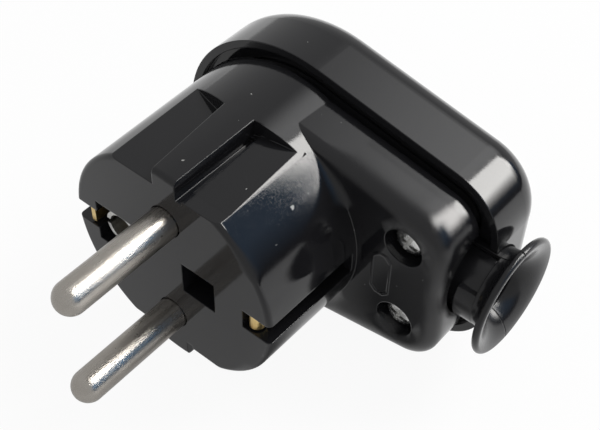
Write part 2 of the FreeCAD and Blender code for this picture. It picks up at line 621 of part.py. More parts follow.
pad(housing, sketch, RETAINER_FRONT - ROOTED)

boss_start = NECK_Y + ROOTED
recess_end = COVER_SCREW_Y + SCREW_HEAD_H
sketch = across(housing, "recess_tube", boss_start)
circle(sketch, COVER_SCREW_X, COVER_SCREW_Z, RECESS_R + RECESS_WALL)
tube = pad(housing, sketch, recess_end + RECESS_FLOOR - boss_start)
sketch = across(housing, "cover_screw_boss", boss_start)
circle(sketch, COVER_SCREW_X, COVER_SCREW_Z, BOSS_R)
boss = pad(housing, sketch, COVER_BOSS_Y - BOSS_OPEN - boss_start)
sketch = across(housing, "clamp_boss", boss_start)
circle(sketch, CLAMP_X, CLAMP_Z, CLAMP_BOSS_R)
clamp_boss = pad(housing, sketch, CLAMP_BAR_Y - CLAMP_OPEN - boss_start)
mirrored(housing, "lower_bosses", [tube, boss, clamp_boss])
sketch = across(housing, "cord_seat", boss_start)
rectangle(sketch, CLAMP_X - CLAMP_HALF_X, CLAMP_X + CLAMP_HALF_X, -CORD_SEAT_HALF, CORD_SEAT_HALF)
pad(housing, sketch, CORD_Y - CORD_SEAT_R - CORD_GAP - boss_start)

sketch = across(housing, "pin_hole", -PAST)
circle(sketch, 0, PIN_Z, PIN_R + PIN_HOLE_GAP)
pin_hole = pocket(housing, sketch, FACE_WALL + PAST * 2)
sketch = across(housing, "recess", NECK_Y - PAST)
circle(sketch, COVER_SCREW_X, COVER_SCREW_Z, RECESS_R)
recess = pocket(housing, sketch, recess_end - NECK_Y + PAST)
sketch = across(housing, "cover_screw_hole", NECK_Y)
circle(sketch, COVER_SCREW_X, COVER_SCREW_Z, SCREW_R + SCREW_PASS)
screw_hole = pocket(housing, sketch, COVER_BOSS_Y - NECK_Y + PAST)
sketch = across(housing, "clamp_hole", CLAMP_SCREW_END - RUN_OUT)
circle(sketch, CLAMP_X, CLAMP_Z, SCREW_R + THREAD_GAP)
clamp_hole = pocket(housing, sketch, CLAMP_BAR_Y - CLAMP_SCREW_END + RUN_OUT + PAST)
guide_cut = HEAD_REAR_R - GUIDE_Z + PAST
sketch = sketch_on(housing, "guide_far", "XY_Plane", GUIDE_Z)
polygon(sketch, [(-GUIDE_HALF, -PAST), (-RIB_LEFT_FRONT, -PAST), (-RIB_LEFT_REAR, GUIDE_INNER_END),
                 (-GUIDE_HALF, GUIDE_OUTER_END)])
guide_far = pocket(housing, sketch, guide_cut, True)
sketch = sketch_on(housing, "guide_cord", "XY_Plane", GUIDE_Z)
polygon(sketch, [(RIB_RIGHT, -PAST), (GUIDE_HALF, -PAST), (GUIDE_HALF, GUIDE_OUTER_END),
                 (RIB_RIGHT, GUIDE_INNER_END)])
guide_cord = pocket(housing, sketch, guide_cut, True)
sketch = sketch_on(housing, "guide_groove", "XY_Plane", GUIDE_Z - GROOVE_DEEP)
rectangle(sketch, RIB_RIGHT, RIB_RIGHT + GROOVE_WIDTH, -PAST, GROOVE_END)
groove = pocket(housing, sketch, guide_cut + GROOVE_DEEP, True)
mirrored(housing, "lower_cuts", [pin_hole, recess, screw_hole, clamp_hole, guide_far, guide_cord, groove])

sketch = across(housing, "square_recess", -PAST)
rectangle(sketch, SQUARE_NEAR, SQUARE_FAR, -SQUARE_HALF, SQUARE_HALF)
pocket(housing, sketch, SQUARE_DEEP + PAST)
sketch = across(housing, "earth_window", -PAST)
rectangle(sketch, -WINDOW_FAR, -WINDOW_NEAR, -WINDOW_HALF, WINDOW_HALF)
pocket(housing, sketch, STRAP_Y + PAST)
sketch = across(housing, "far_slot", -PAST)
rectangle(sketch, -(FACE_R + SLOT_DEEP), SINK - WINDOW_FAR, -SLOT_HALF, SLOT_HALF)
pocket(housing, sketch, SLOT_END + PAST)
sketch = across(housing, "cord_slot", -PAST)
rectangle(sketch, SLOT_FLOOR, FACE_R + SLOT_DEEP, -SLOT_HALF, SLOT_HALF)
pocket(housing, sketch, SLOT_END + PAST)
retainer_hole_start = FACE_WALL + RETAINER_TIP - RUN_OUT
sketch = across(housing, "retainer_hole", retainer_hole_start)
circle(sketch, -RETAINER_SCREW_X, 0, SCREW_R + THREAD_GAP)
pocket(housing, sketch, RETAINER_FRONT + PAST - retainer_hole_start)
sketch = sketch_on(housing, "neck_passage", "YZ_Plane", NECK_END - END_CUT)
circle(sketch, CORD_Y, 0, GUARD_NECK_R + GUARD_GAP)
pocket(housing, sketch, END_CUT + PAST, True)
sketch = sketch_on(housing, "arch", "YZ_Plane", NECK_END - END_CUT)
circle(sketch, ARCH_Y, ARCH_Z, ARCH_R)
pocket(housing, sketch, END_CUT + PAST, True)
sketch = sketch_on(housing, "collar_room", "YZ_Plane", GUARD_START - COLLAR_GAP)
rectangle(sketch, CORD_Y - GUARD_COLLAR_Y - COLLAR_GAP, CORD_Y,
          -(GUARD_COLLAR_Z + COLLAR_GAP), GUARD_COLLAR_Z + COLLAR_GAP)
pocket(housing, sketch, GUARD_COLLAR + COLLAR_GAP * 2, True)
sketch = across(housing, "octagon_frame", NECK_Y - MARK_HIGH)
for inset in (size(0.0), MARK_LINE):
    near_x = MARK_X - MARK_HALF_X + inset
    far_x = MARK_X + MARK_HALF_X - inset
    top_z = MARK_HALF_Z - inset
    polygon(sketch, [(near_x + MARK_CUT, -top_z), (far_x - MARK_CUT, -top_z),
                     (far_x, MARK_CUT - top_z), (far_x, top_z - MARK_CUT),
                     (far_x - MARK_CUT, top_z), (near_x + MARK_CUT, top_z),
                     (near_x, top_z - MARK_CUT), (near_x, MARK_CUT - top_z)])
pad(housing, sketch, MARK_HIGH + SINK)
nodes.append(housing)

# Rear cover
cover = new_body("rear_cover")
sketch = across(cover, "cover_outline", RIM_Y)
round_end(sketch, COVER_R, COVER_END, COVER_HALF, COVER_CORNER)
pad(cover, sketch, COVER_BACK - RIM_Y)
rounded(cover, "cover_back_edge", COVER_EDGE, lambda edge: lies_at(edge, COVER_BACK.number))
sketch = across(cover, "rim_groove", RIM_Y)
round_end(sketch, COVER_R - RIM_WALL, COVER_END - RIM_WALL, COVER_HALF - RIM_WALL,
          COVER_CORNER - RIM_WALL)
pocket(cover, sketch, RIM_GROOVE)
sketch = across(cover, "cover_cavity", RIM_Y)
outline(sketch, SPIGOT_GAP - SPIGOT_IN)
pocket(cover, sketch, COVER_FLOOR - RIM_Y)
sketch = across(cover, "cover_boss", COVER_BOSS_Y)
circle(sketch, COVER_SCREW_X, COVER_SCREW_Z, COVER_BOSS_R)
boss = pad(cover, sketch, COVER_FLOOR - COVER_BOSS_Y + SINK)
mirrored(cover, "lower_cover_boss", [boss])
sketch = across(cover, "insert_hole", COVER_BOSS_Y - SINK)
circle(sketch, COVER_SCREW_X, COVER_SCREW_Z, INSERT_R + INSERT_GAP)
insert_hole = pocket(cover, sketch, SINK + INSERT_SUNK + INSERT_LENGTH + HOLE_GAP)
sketch = across(cover, "screw_run_out", COVER_BOSS_Y)
circle(sketch, COVER_SCREW_X, COVER_SCREW_Z, SCREW_R + SCREW_PASS)
run_out = pocket(cover, sketch, COVER_SCREW_END - COVER_BOSS_Y + PAST * 2)
mirrored(cover, "lower_cover_holes", [insert_hole, run_out])
sketch = sketch_on(cover, "guard_notch", "YZ_Plane", GUARD_START)
circle(sketch, CORD_Y, 0, GUARD_NECK_R + GUARD_GAP)
pocket(cover, sketch, COVER_END - GUARD_START + PAST, True)
nodes.append(cover)

# Pins with collar, terminal pillar and wire hole, and their screws
for word, sign in (("upper", 1), ("lower", -1)):
    z = PIN_Z * sign
    tip = ball(word + "_pin_tip", PIN_R, 0, PIN_R - PIN_LENGTH, z)
    shank = rod(word + "_pin_shank", PIN_R, 0, z, PIN_R - PIN_LENGTH, PIN_ROOT_Y)
    root = rod(word + "_pin_root", PIN_ROOT_R, 0, z, PIN_ROOT_Y - SINK, FACE_WALL + SINK)
    collar = rod(word + "_pin_collar", PIN_COLLAR_R, 0, z, FACE_WALL + SEAT_GAP, RETAINER_FRONT - SEAT_GAP)
    pillar = rod(word + "_pin_pillar", PILLAR_R, 0, z, RETAINER_FRONT - SINK, PILLAR_END)
    solid = joined(word + "_pin_solid", [tip, shank, root, collar, pillar])
    wire = cross_rod(word + "_wire_hole", WIRE_HOLE_R, WIRE_HOLE_Y, z, -(PILLAR_R + PAST), PILLAR_R + PAST)
    thread = rod(word + "_pin_thread", SCREW_R + THREAD_GAP, 0, z, WIRE_HOLE_Y, PILLAR_END + PAST)
    nodes.append(without(word + "_pin", solid, [wire, thread]))
    head_y = PILLAR_END + TERMINAL_OPEN
    shaft = rod(word + "_terminal_shaft", SCREW_R, 0, z, WIRE_HOLE_Y + SINK, head_y + SINK)
    top = rod(word + "_terminal_head", TERMINAL_HEAD_R, 0, z, head_y, head_y + TERMINAL_HEAD_H)
    whole = joined(word + "_terminal_solid", [shaft, top])
    slot = driver_slot(word + "_terminal", TERMINAL_HEAD_R, 0, z, head_y + TERMINAL_HEAD_H)
    nodes.append(without(word + "_terminal_screw", whole, [slot]))

# Retainer plate over the pin collars, with its screw
retainer_rear = RETAINER_FRONT + RETAINER_THICK
bridge = block("retainer_bridge", -RETAINER_HALF_X, RETAINER_HALF_X, RETAINER_FRONT, retainer_rear,
               PILLAR_R - PIN_Z, PIN_Z - PILLAR_R)
ends = round_plate("retainer", 0, PIN_COLLAR_R, RETAINER_FRONT, retainer_rear, PIN_Z + PIN_COLLAR_R)
plate = joined("retainer_solid", [bridge] + ends)
holes = []
for word, sign in (("upper", 1), ("lower", -1)):
    holes.append(rod(word + "_retainer_hole", PILLAR_R + RETAINER_GAP, 0, PIN_Z * sign,
                     RETAINER_FRONT - PAST, retainer_rear + PAST))
holes.append(rod("retainer_screw_hole", SCREW_R + HOLE_GAP, -RETAINER_SCREW_X, 0,
                 RETAINER_FRONT - PAST, retainer_rear + PAST))
nodes.append(without("contact_retainer", plate, holes))
head_y = STRAP_Y + STRAP_THICK + SEAT_GAP
shaft = rod("retainer_screw_shaft", SCREW_R, -RETAINER_SCREW_X, 0, FACE_WALL + RETAINER_TIP, head_y + SINK)
top = rod("retainer_screw_head", SCREW_HEAD_R, -RETAINER_SCREW_X, 0, head_y, head_y + SCREW_HEAD_H)
whole = joined("retainer_screw_solid", [shaft, top])
slot = driver_slot("retainer_screw", SCREW_HEAD_R, -RETAINER_SCREW_X, 0, head_y + SCREW_HEAD_H)
nodes.append(without("retainer_screw", whole, [slot]))

# Earth strap: base across the head and two legs in the side slots, one with a folded tip
base = block("strap_base", -LEG_FAR_X, LEG_CORD_X + STRAP_THICK, STRAP_Y, STRAP_Y + STRAP_THICK,
             -LEG_HALF, LEG_HALF)
broad = block("strap_broad", -(SOCKET_X + STRAP_PAST_SOCKET), EARTH_TERMINAL_X + STRAP_PAST_TERMINAL,
              STRAP_Y, STRAP_Y + STRAP_THICK, -STRAP_HALF, STRAP_HALF)
far_leg = block("strap_far_leg", -LEG_FAR_X, STRAP_THICK - LEG_FAR_X, LEG_TIP_Y, STRAP_Y + STRAP_THICK,
                -LEG_HALF, LEG_HALF)
fold_x = LEG_CORD_X + FOLD_R
fold_y = LEG_TIP_Y + FOLD_R
cord_leg = block("strap_cord_leg", LEG_CORD_X, LEG_CORD_X + STRAP_THICK, fold_y, STRAP_Y + STRAP_THICK,
                 -LEG_HALF, LEG_HALF)
fold = doc.addObject("Part::Cylinder", "strap_fold")
bind(fold, "Radius", FOLD_R)
bind(fold, "Height", LEG_HALF * 2)
place(fold, fold_x, fold_y, -LEG_HALF)
fold_bore = doc.addObject("Part::Cylinder", "strap_fold_bore")
bind(fold_bore, "Radius", FOLD_R - STRAP_THICK)
bind(fold_bore, "Height", LEG_HALF * 2 + PAST * 2)
place(fold_bore, fold_x, fold_y, -(LEG_HALF + PAST))
fold_back = block("strap_fold_back", LEG_CORD_X + STRAP_THICK, fold_x + FOLD_R + PAST,
                  fold_y, fold_y + FOLD_R + PAST, -(LEG_HALF + PAST), LEG_HALF + PAST)
loop = without("strap_loop", fold, [fold_bore, fold_back])
folded_tip = block("strap_folded_tip", fold_x + FOLD_R - STRAP_THICK, fold_x + FOLD_R,
                   fold_y, fold_y + FOLD_LEG, -LEG_HALF, LEG_HALF)
solid = joined("strap_solid", [base, broad, far_leg, cord_leg, loop, folded_tip])
strap_front = STRAP_Y - PAST
strap_rear = STRAP_Y + STRAP_THICK + PAST
screw_hole = rod("strap_screw_hole", SCREW_R + HOLE_GAP, -RETAINER_SCREW_X, 0, strap_front, strap_rear)
terminal_hole = rod("strap_terminal_hole", SCREW_R + HOLE_GAP, EARTH_TERMINAL_X, 0, strap_front, strap_rear)
rivet_hole = rod("strap_rivet_hole", RIVET_R + RIVET_GAP, -SOCKET_X, 0, strap_front, strap_rear)
nodes.append(without("earth_strap", solid, [screw_hole, terminal_hole, rivet_hole]))

# Earth socket, rolled from sheet, closed by its riveted foot
socket_r = SOCKET_BORE + SOCKET_WALL
socket_rear = STRAP_Y - SEAT_GAP
foot_front = socket_rear - SOCKET_WALL
sleeve = rod("socket_sleeve", socket_r, -SOCKET_X, 0, SOCKET_FRONT, socket_rear)
bore = rod("socket_bore_hole", SOCKET_BORE, -SOCKET_X, 0, SOCKET_FRONT - PAST, SOCKET_BORE_END)
seat = rod("socket_rivet_seat", RIVET_HEAD_R + RIVET_SEAT_GAP, -SOCKET_X, 0, SOCKET_FRONT, foot_front)
slit = block("socket_slit", -(SOCKET_X + socket_r + PAST), -SOCKET_X, SOCKET_FRONT - PAST, SOCKET_BORE_END,
             -SOCKET_SLIT * 0.5, SOCKET_SLIT * 0.5)
foot_hole = rod("socket_rivet_hole", RIVET_R + RIVET_GAP, -SOCKET_X, 0,
                foot_front - PAST, socket_rear + PAST)
nodes.append(without("earth_socket", sleeve, [bore, seat, slit, foot_hole]))
rivet_front = foot_front - RIVET_PLAY
rivet_rear = STRAP_Y + STRAP_THICK + RIVET_GAP
front_head = rod("rivet_front_head", RIVET_HEAD_R, -SOCKET_X, 0, rivet_front - RIVET_FRONT_H, rivet_front)
rear_head = rod("rivet_rear_head", RIVET_HEAD_R, -SOCKET_X, 0, rivet_rear, rivet_rear + RIVET_REAR_H)
shank = rod("rivet_shank", RIVET_R, -SOCKET_X, 0, rivet_front - RIVET_FRONT_H * 0.5,
            rivet_rear + RIVET_REAR_H * 0.5)
nodes.append(joined("earth_rivet", [shank, front_head, rear_head]))

# Earth terminal: nut under the strap, saddle washer and screw
nut_rear = STRAP_Y - SEAT_GAP
nut = block("earth_nut_block", EARTH_TERMINAL_X - EARTH_NUT_HALF, EARTH_TERMINAL_X + EARTH_NUT_HALF,
            nut_rear - EARTH_NUT_THICK, nut_rear, -EARTH_NUT_HALF, EARTH_NUT_HALF)
nut_hole = rod("earth_nut_hole", SCREW_R + THREAD_GAP, EARTH_TERMINAL_X, 0,
               nut_rear - EARTH_NUT_THICK - PAST, nut_rear + PAST)
nodes.append(without("earth_nut", nut, [nut_hole]))
saddle_y = STRAP_Y + STRAP_THICK + SADDLE_OPEN
saddle = block("earth_saddle_plate", EARTH_TERMINAL_X - SADDLE_HALF, EARTH_TERMINAL_X + SADDLE_HALF,
               saddle_y, saddle_y + SADDLE_THICK, -SADDLE_HALF, SADDLE_HALF)
lugs = []
for word, sign in (("upper", 1), ("lower", -1)):
    edge_z = (SADDLE_HALF - SADDLE_LIP * 0.5) * sign
    lugs.append(block("earth_saddle_" + word + "_lip", EARTH_TERMINAL_X - SADDLE_HALF,
                      EARTH_TERMINAL_X + SADDLE_HALF, saddle_y - SADDLE_LIP_HIGH, saddle_y + SINK,
                      edge_z - SADDLE_LIP * 0.5, edge_z + SADDLE_LIP * 0.5))
saddle_hole = rod("earth_saddle_hole", SCREW_R + HOLE_GAP, EARTH_TERMINAL_X, 0,
                  saddle_y - PAST, saddle_y + SADDLE_THICK + PAST)
nodes.append(without("earth_saddle", joined("earth_saddle_solid", [saddle] + lugs), [saddle_hole]))
top_y = saddle_y + SADDLE_THICK + SEAT_GAP
shaft = rod("earth_screw_shaft", SCREW_R, EARTH_TERMINAL_X, 0, nut_rear - EARTH_NUT_THICK, top_y + SINK)
top = rod("earth_screw_head", SCREW_HEAD_R, EARTH_TERMINAL_X, 0, top_y, top_y + SCREW_HEAD_H)
whole = joined("earth_screw_solid", [shaft, top])
slot = driver_slot("earth_screw", SCREW_HEAD_R, EARTH_TERMINAL_X, 0, top_y + SCREW_HEAD_H)
nodes.append(without("earth_terminal_screw", whole, [slot]))

# Cover screws with cross recess, and the inserts they hold in
for word, sign in (("upper", 1), ("lower", -1)):
    z = COVER_SCREW_Z * sign
    seat = COVER_SCREW_Y + SCREW_HEAD_H
    top = rod(word + "_cover_screw_head", COVER_HEAD_R, COVER_SCREW_X, z, COVER_SCREW_Y, seat - HEAD_PLAY)
    shaft = rod(word + "_cover_screw_shaft", SCREW_R, COVER_SCREW_X, z,
                COVER_SCREW_Y + SINK, COVER_SCREW_END)
    head_solid = joined(word + "_cover_screw_solid", [top, shaft])
    arms = []
    for name, turn in (("first", CROSS_TURN), ("second", CROSS_TURN + 90.0)):
        arm = doc.addObject("Part::Box", word + "_recess_" + name + "_arm")
        bind(arm, "Length", CROSS_LENGTH)
        bind(arm, "Width", CROSS_DEEP + PAST)
        bind(arm, "Height", CROSS_WIDTH)
        spin = FreeCAD.Rotation(FreeCAD.Vector(0, 1, 0), turn)
        half_arm = FreeCAD.Vector(CROSS_LENGTH.number / 2, 0, CROSS_WIDTH.number / 2)
        shift = spin.multVec(-half_arm)
        arm.Placement = FreeCAD.Placement(shift, spin)
        bind(arm, "Placement.Base.x", COVER_SCREW_X + shift.x)
        bind(arm, "Placement.Base.y", COVER_SCREW_Y - PAST)
        bind(arm, "Placement.Base.z", z + shift.z)
        arms.append(arm)
    nodes.append(without(word + "_cover_screw", head_solid, arms))
    insert_front = COVER_BOSS_Y + INSERT_SUNK
    insert_rear = insert_front + INSERT_LENGTH
    sleeve = rod(word + "_insert_sleeve", INSERT_R, COVER_SCREW_X, z, insert_front, insert_rear)
    thread = rod(word + "_insert_thread", SCREW_R + THREAD_GAP, COVER_SCREW_X, z,
                 insert_front - PAST, insert_rear + PAST)
    nodes.append(without(word + "_cover_insert", sleeve, [thread]))

# Cord clamp bar and its screws
bar_rear = CLAMP_BAR_Y + CLAMP_BAR_THICK
bar = joined("clamp_bar_solid", round_plate("clamp_bar", CLAMP_X, CLAMP_HALF_X, CLAMP_BAR_Y, bar_rear,
                                            CLAMP_HALF_Z))
cuts = [cross_rod("clamp_cord_cut", CORD_SEAT_R, CORD_Y, 0, CLAMP_X - CLAMP_HALF_X - PAST,
                  CLAMP_X + CLAMP_HALF_X + PAST)]
for word, sign in (("upper", 1), ("lower", -1)):
    cuts.append(rod(word + "_clamp_bar_hole", SCREW_R + HOLE_GAP, CLAMP_X, CLAMP_Z * sign,
                    CLAMP_BAR_Y - PAST, bar_rear + PAST))
nodes.append(without("clamp_bar", bar, cuts))
for word, sign in (("upper", 1), ("lower", -1)):
    z = CLAMP_Z * sign
    seat = bar_rear + SEAT_GAP
    shaft = rod(word + "_clamp_shaft", SCREW_R, CLAMP_X, z, CLAMP_SCREW_END, seat + SINK)
    top = rod(word + "_clamp_head", SCREW_HEAD_R, CLAMP_X, z, seat, seat + SCREW_HEAD_H)
    whole = joined(word + "_clamp_solid", [shaft, top])
    slot = driver_slot(word + "_clamp", SCREW_HEAD_R, CLAMP_X, z, seat + SCREW_HEAD_H)
    nodes.append(without(word + "_clamp_screw", whole, [slot]))


# Cord guard in two halves that meet in the plane of the cord's axis
def guard_half(label, side, neck):
    """One half: collar plate, neck and flared bell. side is -1 for the front half."""
    body = new_body(label)
    plate = sketch_on(body, label + "_collar", "YZ_Plane", GUARD_START)
    near = CORD_Y + GUARD_SEAM * side
    far = CORD_Y + GUARD_COLLAR_Y * side
    rectangle(plate, near, far, -GUARD_COLLAR_Z, GUARD_COLLAR_Z)
    pad(body, plate, GUARD_COLLAR, False)

    profile = sketch_on(body, label + "_profile", "XY_Plane", 0)
    bind(profile, "AttachmentOffset.Base.y", CORD_Y)

    def at(x, distance):
        return size(x), size(distance) * side

    lip_x = GUARD_FLARE_X + GUARD_FLARE_R + GUARD_LIP_R
    points = [at(GUARD_START, GUARD_BORE), at(GUARD_START, neck), at(GUARD_FLARE_X, neck),
              at(GUARD_FLARE_X, GUARD_NECK_R),
              at(GUARD_FLARE_X + GUARD_FLARE_R, GUARD_NECK_R + GUARD_FLARE_R),
              at(lip_x - GUARD_LIP_R, GUARD_LIP_RADIUS), at(lip_x + GUARD_LIP_R, GUARD_LIP_RADIUS),
              at(lip_x + GUARD_LIP_R - GUARD_MOUTH_DEEP, GUARD_BORE)]
    if neck is GUARD_NECK_R:
        points.pop(2)
    vectors = [FreeCAD.Vector(a.number, b.number, 0) for a, b in points]
    count = len(points)
    flare_at = count - 5
    lip_at = count - 3
    mouth_at = count - 2
    flare_middle = FreeCAD.Vector(GUARD_FLARE_X.number, side * (GUARD_NECK_R + GUARD_FLARE_R).number, 0)
    lip_middle = FreeCAD.Vector(lip_x.number, side * GUARD_LIP_RADIUS.number, 0)
    chord = vectors[-1].sub(vectors[mouth_at])
    rise = math.sqrt(GUARD_MOUTH_R.number ** 2 - (chord.Length / 2) ** 2)
    away = FreeCAD.Vector(chord.y * side, -chord.x * side, 0).normalize()
    mouth_middle = vectors[mouth_at].add(chord * 0.5).add(away * rise)
    arcs = {
        flare_at: (flare_middle, side > 0),
        lip_at: (lip_middle, side < 0),
        mouth_at: (mouth_middle, side < 0),
    }
    for i in range(count):
        a = vectors[i]
        b = vectors[(i + 1) % count]
        if i not in arcs:
            profile.addGeometry(Part.LineSegment(a, b), False)
            continue
        middle, forward = arcs[i]
        first, last = (a, b) if forward else (b, a)
        round_part = Part.Circle(middle, FreeCAD.Vector(0, 0, 1), first.distanceToPoint(middle))
        start = math.atan2(first.y - middle.y, first.x - middle.x)
        stop = math.atan2(last.y - middle.y, last.x - middle.x)
        if stop < start:
            stop += 2 * math.pi
        profile.addGeometry(Part.ArcOfCircle(round_part, start, stop), False)
    ends = []
    for i in range(count):
        shape = profile.Geometry[i]
        reversed_arc = shape.StartPoint.distanceToPoint(vectors[i]) > 1e-6
        ends.append((2, 1) if reversed_arc else (1, 2))
    for i in range(count):
        j = (i + 1) % count
        profile.addConstraint(Sketcher.Constraint("Coincident", i, ends[i][1], j, ends[j][0]))
    for i in range(count):
        held(profile, "DistanceX", i, ends[i][0], points[i][0])
        held(profile, "DistanceY", i, ends[i][0], points[i][1])
    held_radius(profile, flare_at, GUARD_FLARE_R)
    held(profile, "DistanceY", lip_at, 3, points[lip_at][1])
    held_radius(profile, mouth_at, GUARD_MOUTH_R)
    turned = body.newObject("PartDesign::Revolution", label + "_bell")
    turned.Profile = profile
    turned.ReferenceAxis = (profile, ["H_Axis"])
    turned.Midplane = True
    turned.Angle = GUARD_TURN
    doc.recompute()
    if neck is not GUARD_NECK_R:
        lug = sketch_on(body, label + "_lug", "YZ_Plane", GUARD_LUG_X)
        middle = CORD_Y.number
        loops = []
        for radius in (GUARD_NECK_R.number + SEAT_GAP.number, GUARD_BORE.number + GUARD_LUG_IN.number):
            top_y = middle - math.sqrt(radius ** 2 - GUARD_LUG_Z.number ** 2)
            top = FreeCAD.Vector(top_y, GUARD_LUG_Z.number, 0)
            bend = FreeCAD.Vector(middle - radius * math.cos(0.6), -radius * math.sin(0.6), 0)
            bottom = FreeCAD.Vector(middle - 0.1, -math.sqrt(radius ** 2 - 0.01), 0)
            loops.append((top, bottom))
            lug.addGeometry(Part.Arc(top, bend, bottom), False)
        lug.addGeometry(Part.LineSegment(loops[0][0], loops[1][0]), False)
        lug.addGeometry(Part.LineSegment(loops[0][1], loops[1][1]), False)
        pad(body, lug, GUARD_FLARE_X - GUARD_LUG_X + GUARD_LUG_SINK, False)
    opening = sketch_on(body, label + "_bore", "YZ_Plane", GUARD_START - PAST)
    circle(opening, CORD_Y, 0, GUARD_BORE)
    pocket(body, opening, GUARD_FLARE_X - GUARD_START + PAST + HOLE_GAP, True)
    return body


nodes.append(guard_half("guard_front_half", -1, GUARD_THIN_R))
nodes.append(guard_half("guard_rear_half", 1, GUARD_NECK_R))

doc.recompute()
for thing in doc.Objects:
    for word in thing.State:
        if word in ("Invalid", "Error"):
            raise ValueError(thing.Name + " is " + word)
for node in nodes:
    shape = node.Shape
    if shape.isNull() or not shape.isValid():
        raise ValueError(node.Label + " has no valid shape")
    if len(shape.Solids) != 1:
        raise ValueError(node.Label + " is " + str(len(shape.Solids)) + " solids")
    shape.exportStep("parts/" + node.Label + ".step")
    box = shape.BoundBox
    corners = [box.XMin, box.XMax, box.YMin, box.YMax, box.ZMin, box.ZMax]
    print(node.Label, round(shape.Volume, 1), [round(value, 2) for value in corners])
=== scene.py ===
# %% [markdown]
# # A side-earth mains plug
#
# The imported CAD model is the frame: every moulding, pin, strap and screw already has its
# real shape and place there, in metres. This script gives each of them its finish, adds the
# small detail that only the eye needs, and sets up the studio and the camera.
#
# X runs towards the cord, the pins point along -Y, and Z is up. The plug lies on its side.

# %% Load the frame
import json
import math

import bmesh
import bpy
from mathutils import Matrix, Vector


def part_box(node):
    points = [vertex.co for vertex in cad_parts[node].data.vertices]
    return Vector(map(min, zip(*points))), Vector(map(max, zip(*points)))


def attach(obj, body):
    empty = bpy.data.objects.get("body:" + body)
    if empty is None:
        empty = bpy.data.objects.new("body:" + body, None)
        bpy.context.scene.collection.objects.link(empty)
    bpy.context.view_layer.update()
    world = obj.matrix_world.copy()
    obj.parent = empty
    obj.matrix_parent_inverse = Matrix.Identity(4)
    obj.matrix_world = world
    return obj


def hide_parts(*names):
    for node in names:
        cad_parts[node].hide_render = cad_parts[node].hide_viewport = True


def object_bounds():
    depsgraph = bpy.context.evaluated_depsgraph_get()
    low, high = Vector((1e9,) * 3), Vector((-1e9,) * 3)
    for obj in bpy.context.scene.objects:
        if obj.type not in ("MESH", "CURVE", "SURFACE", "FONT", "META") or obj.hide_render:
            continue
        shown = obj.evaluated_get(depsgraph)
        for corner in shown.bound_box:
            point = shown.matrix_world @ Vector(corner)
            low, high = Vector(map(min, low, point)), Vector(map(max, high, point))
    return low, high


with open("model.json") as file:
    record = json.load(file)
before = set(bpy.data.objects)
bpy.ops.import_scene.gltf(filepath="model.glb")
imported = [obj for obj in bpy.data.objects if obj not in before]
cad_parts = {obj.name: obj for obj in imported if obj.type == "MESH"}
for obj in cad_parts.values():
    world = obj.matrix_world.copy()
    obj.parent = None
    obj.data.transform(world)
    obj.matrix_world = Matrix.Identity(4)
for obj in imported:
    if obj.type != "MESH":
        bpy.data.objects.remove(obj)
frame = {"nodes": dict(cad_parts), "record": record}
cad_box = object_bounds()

scene = bpy.context.scene
nodes = frame["nodes"]
MM = 0.001
for packed in bpy.data.materials:
    packed.name = "packed_" + packed.name
print("CAD nodes:", len(nodes), "box in mm:", [[round(v / MM, 1) for v in corner] for corner in cad_box])

# %% [markdown]
# ## Camera
#
# The photographer looked down on the plug from the right of its pins. Place, turn and lens
# were worked out from the two pins, whose length and spacing are standard. A small shift
# puts the plug where it lies in the photograph's frame.

# %% Camera
CAMERA_PLACE = (77.06, -68.95, 122.09)
CAMERA_TURN = (41.185, -1.056, 39.788)
LENS = 70.08
SENSOR = 36.0
SHIFT = (0.0052, 0.050)
SEEN_FROM = 0.01
SEEN_TO = 20.0

camera_data = bpy.data.cameras.new("camera")
camera_data.lens = LENS
camera_data.sensor_width = SENSOR
camera_data.sensor_fit = "HORIZONTAL"
camera_data.shift_x, camera_data.shift_y = SHIFT
camera_data.clip_start = SEEN_FROM
camera_data.clip_end = SEEN_TO
camera = bpy.data.objects.new("camera", camera_data)
camera.location = Vector(CAMERA_PLACE) * MM
camera.rotation_euler = [math.radians(angle) for angle in CAMERA_TURN]
scene.collection.objects.link(camera)
scene.camera = camera
scene.view_settings.view_transform = "Standard"
print("camera lens", LENS, "mm, shift", SHIFT)

# %% [markdown]
# ## Node helpers
#
# Every finish below is a small tree of nodes. These helpers keep the trees short: each adds
# one kind of node, links what comes in and gives back the socket that goes on. A number may
# stand wherever a socket may. All patterns read Object coordinates, which on these pieces
# are metres, so a pattern's scale is the number of its cells in a metre.


# %% Helpers that add and link nodes
def add(tree, kind, label="", **values):
    """Adds a node. Names in values are sockets if the node has them, or else its own settings."""
    node = tree.nodes.new(kind)
    node.label = label
    for name, value in values.items():
        socket = node.inputs.get(name.replace("_", " "))
        if socket is not None:
            socket.default_value = value
        else:
            setattr(node, name, value)
    return node


def link(tree, source, target):
    tree.links.new(source, target)


def feed(tree, value, socket):
    """Links a socket's value, or sets a plain one."""
    if isinstance(value, bpy.types.NodeSocket):
        link(tree, value, socket)
    else:
        socket.default_value = value


def new_material(name, **values):
    """A material with one Principled shader; values are its sockets."""
    material = bpy.data.materials.new(name)
    material.use_nodes = True
    tree = material.node_tree
    tree.nodes.clear()
    output = add(tree, "ShaderNodeOutputMaterial")
    shader = add(tree, "ShaderNodeBsdfPrincipled", name)
    for socket, value in values.items():
        shader.inputs[socket.replace("_", " ")].default_value = value
    link(tree, shader.outputs["BSDF"], output.inputs["Surface"])
    return material, tree, shader


print("helpers that add and link: ready")


# %% Helpers for places
def coordinates(tree, scale=(1.0, 1.0, 1.0)):
    """Object coordinates, stretched so that patterns can run along an axis."""
    source = add(tree, "ShaderNodeTexCoord")
    mapping = add(tree, "ShaderNodeMapping", "stretch", Scale=scale)
    link(tree, source.outputs["Object"], mapping.inputs["Vector"])
    return mapping.outputs["Vector"]


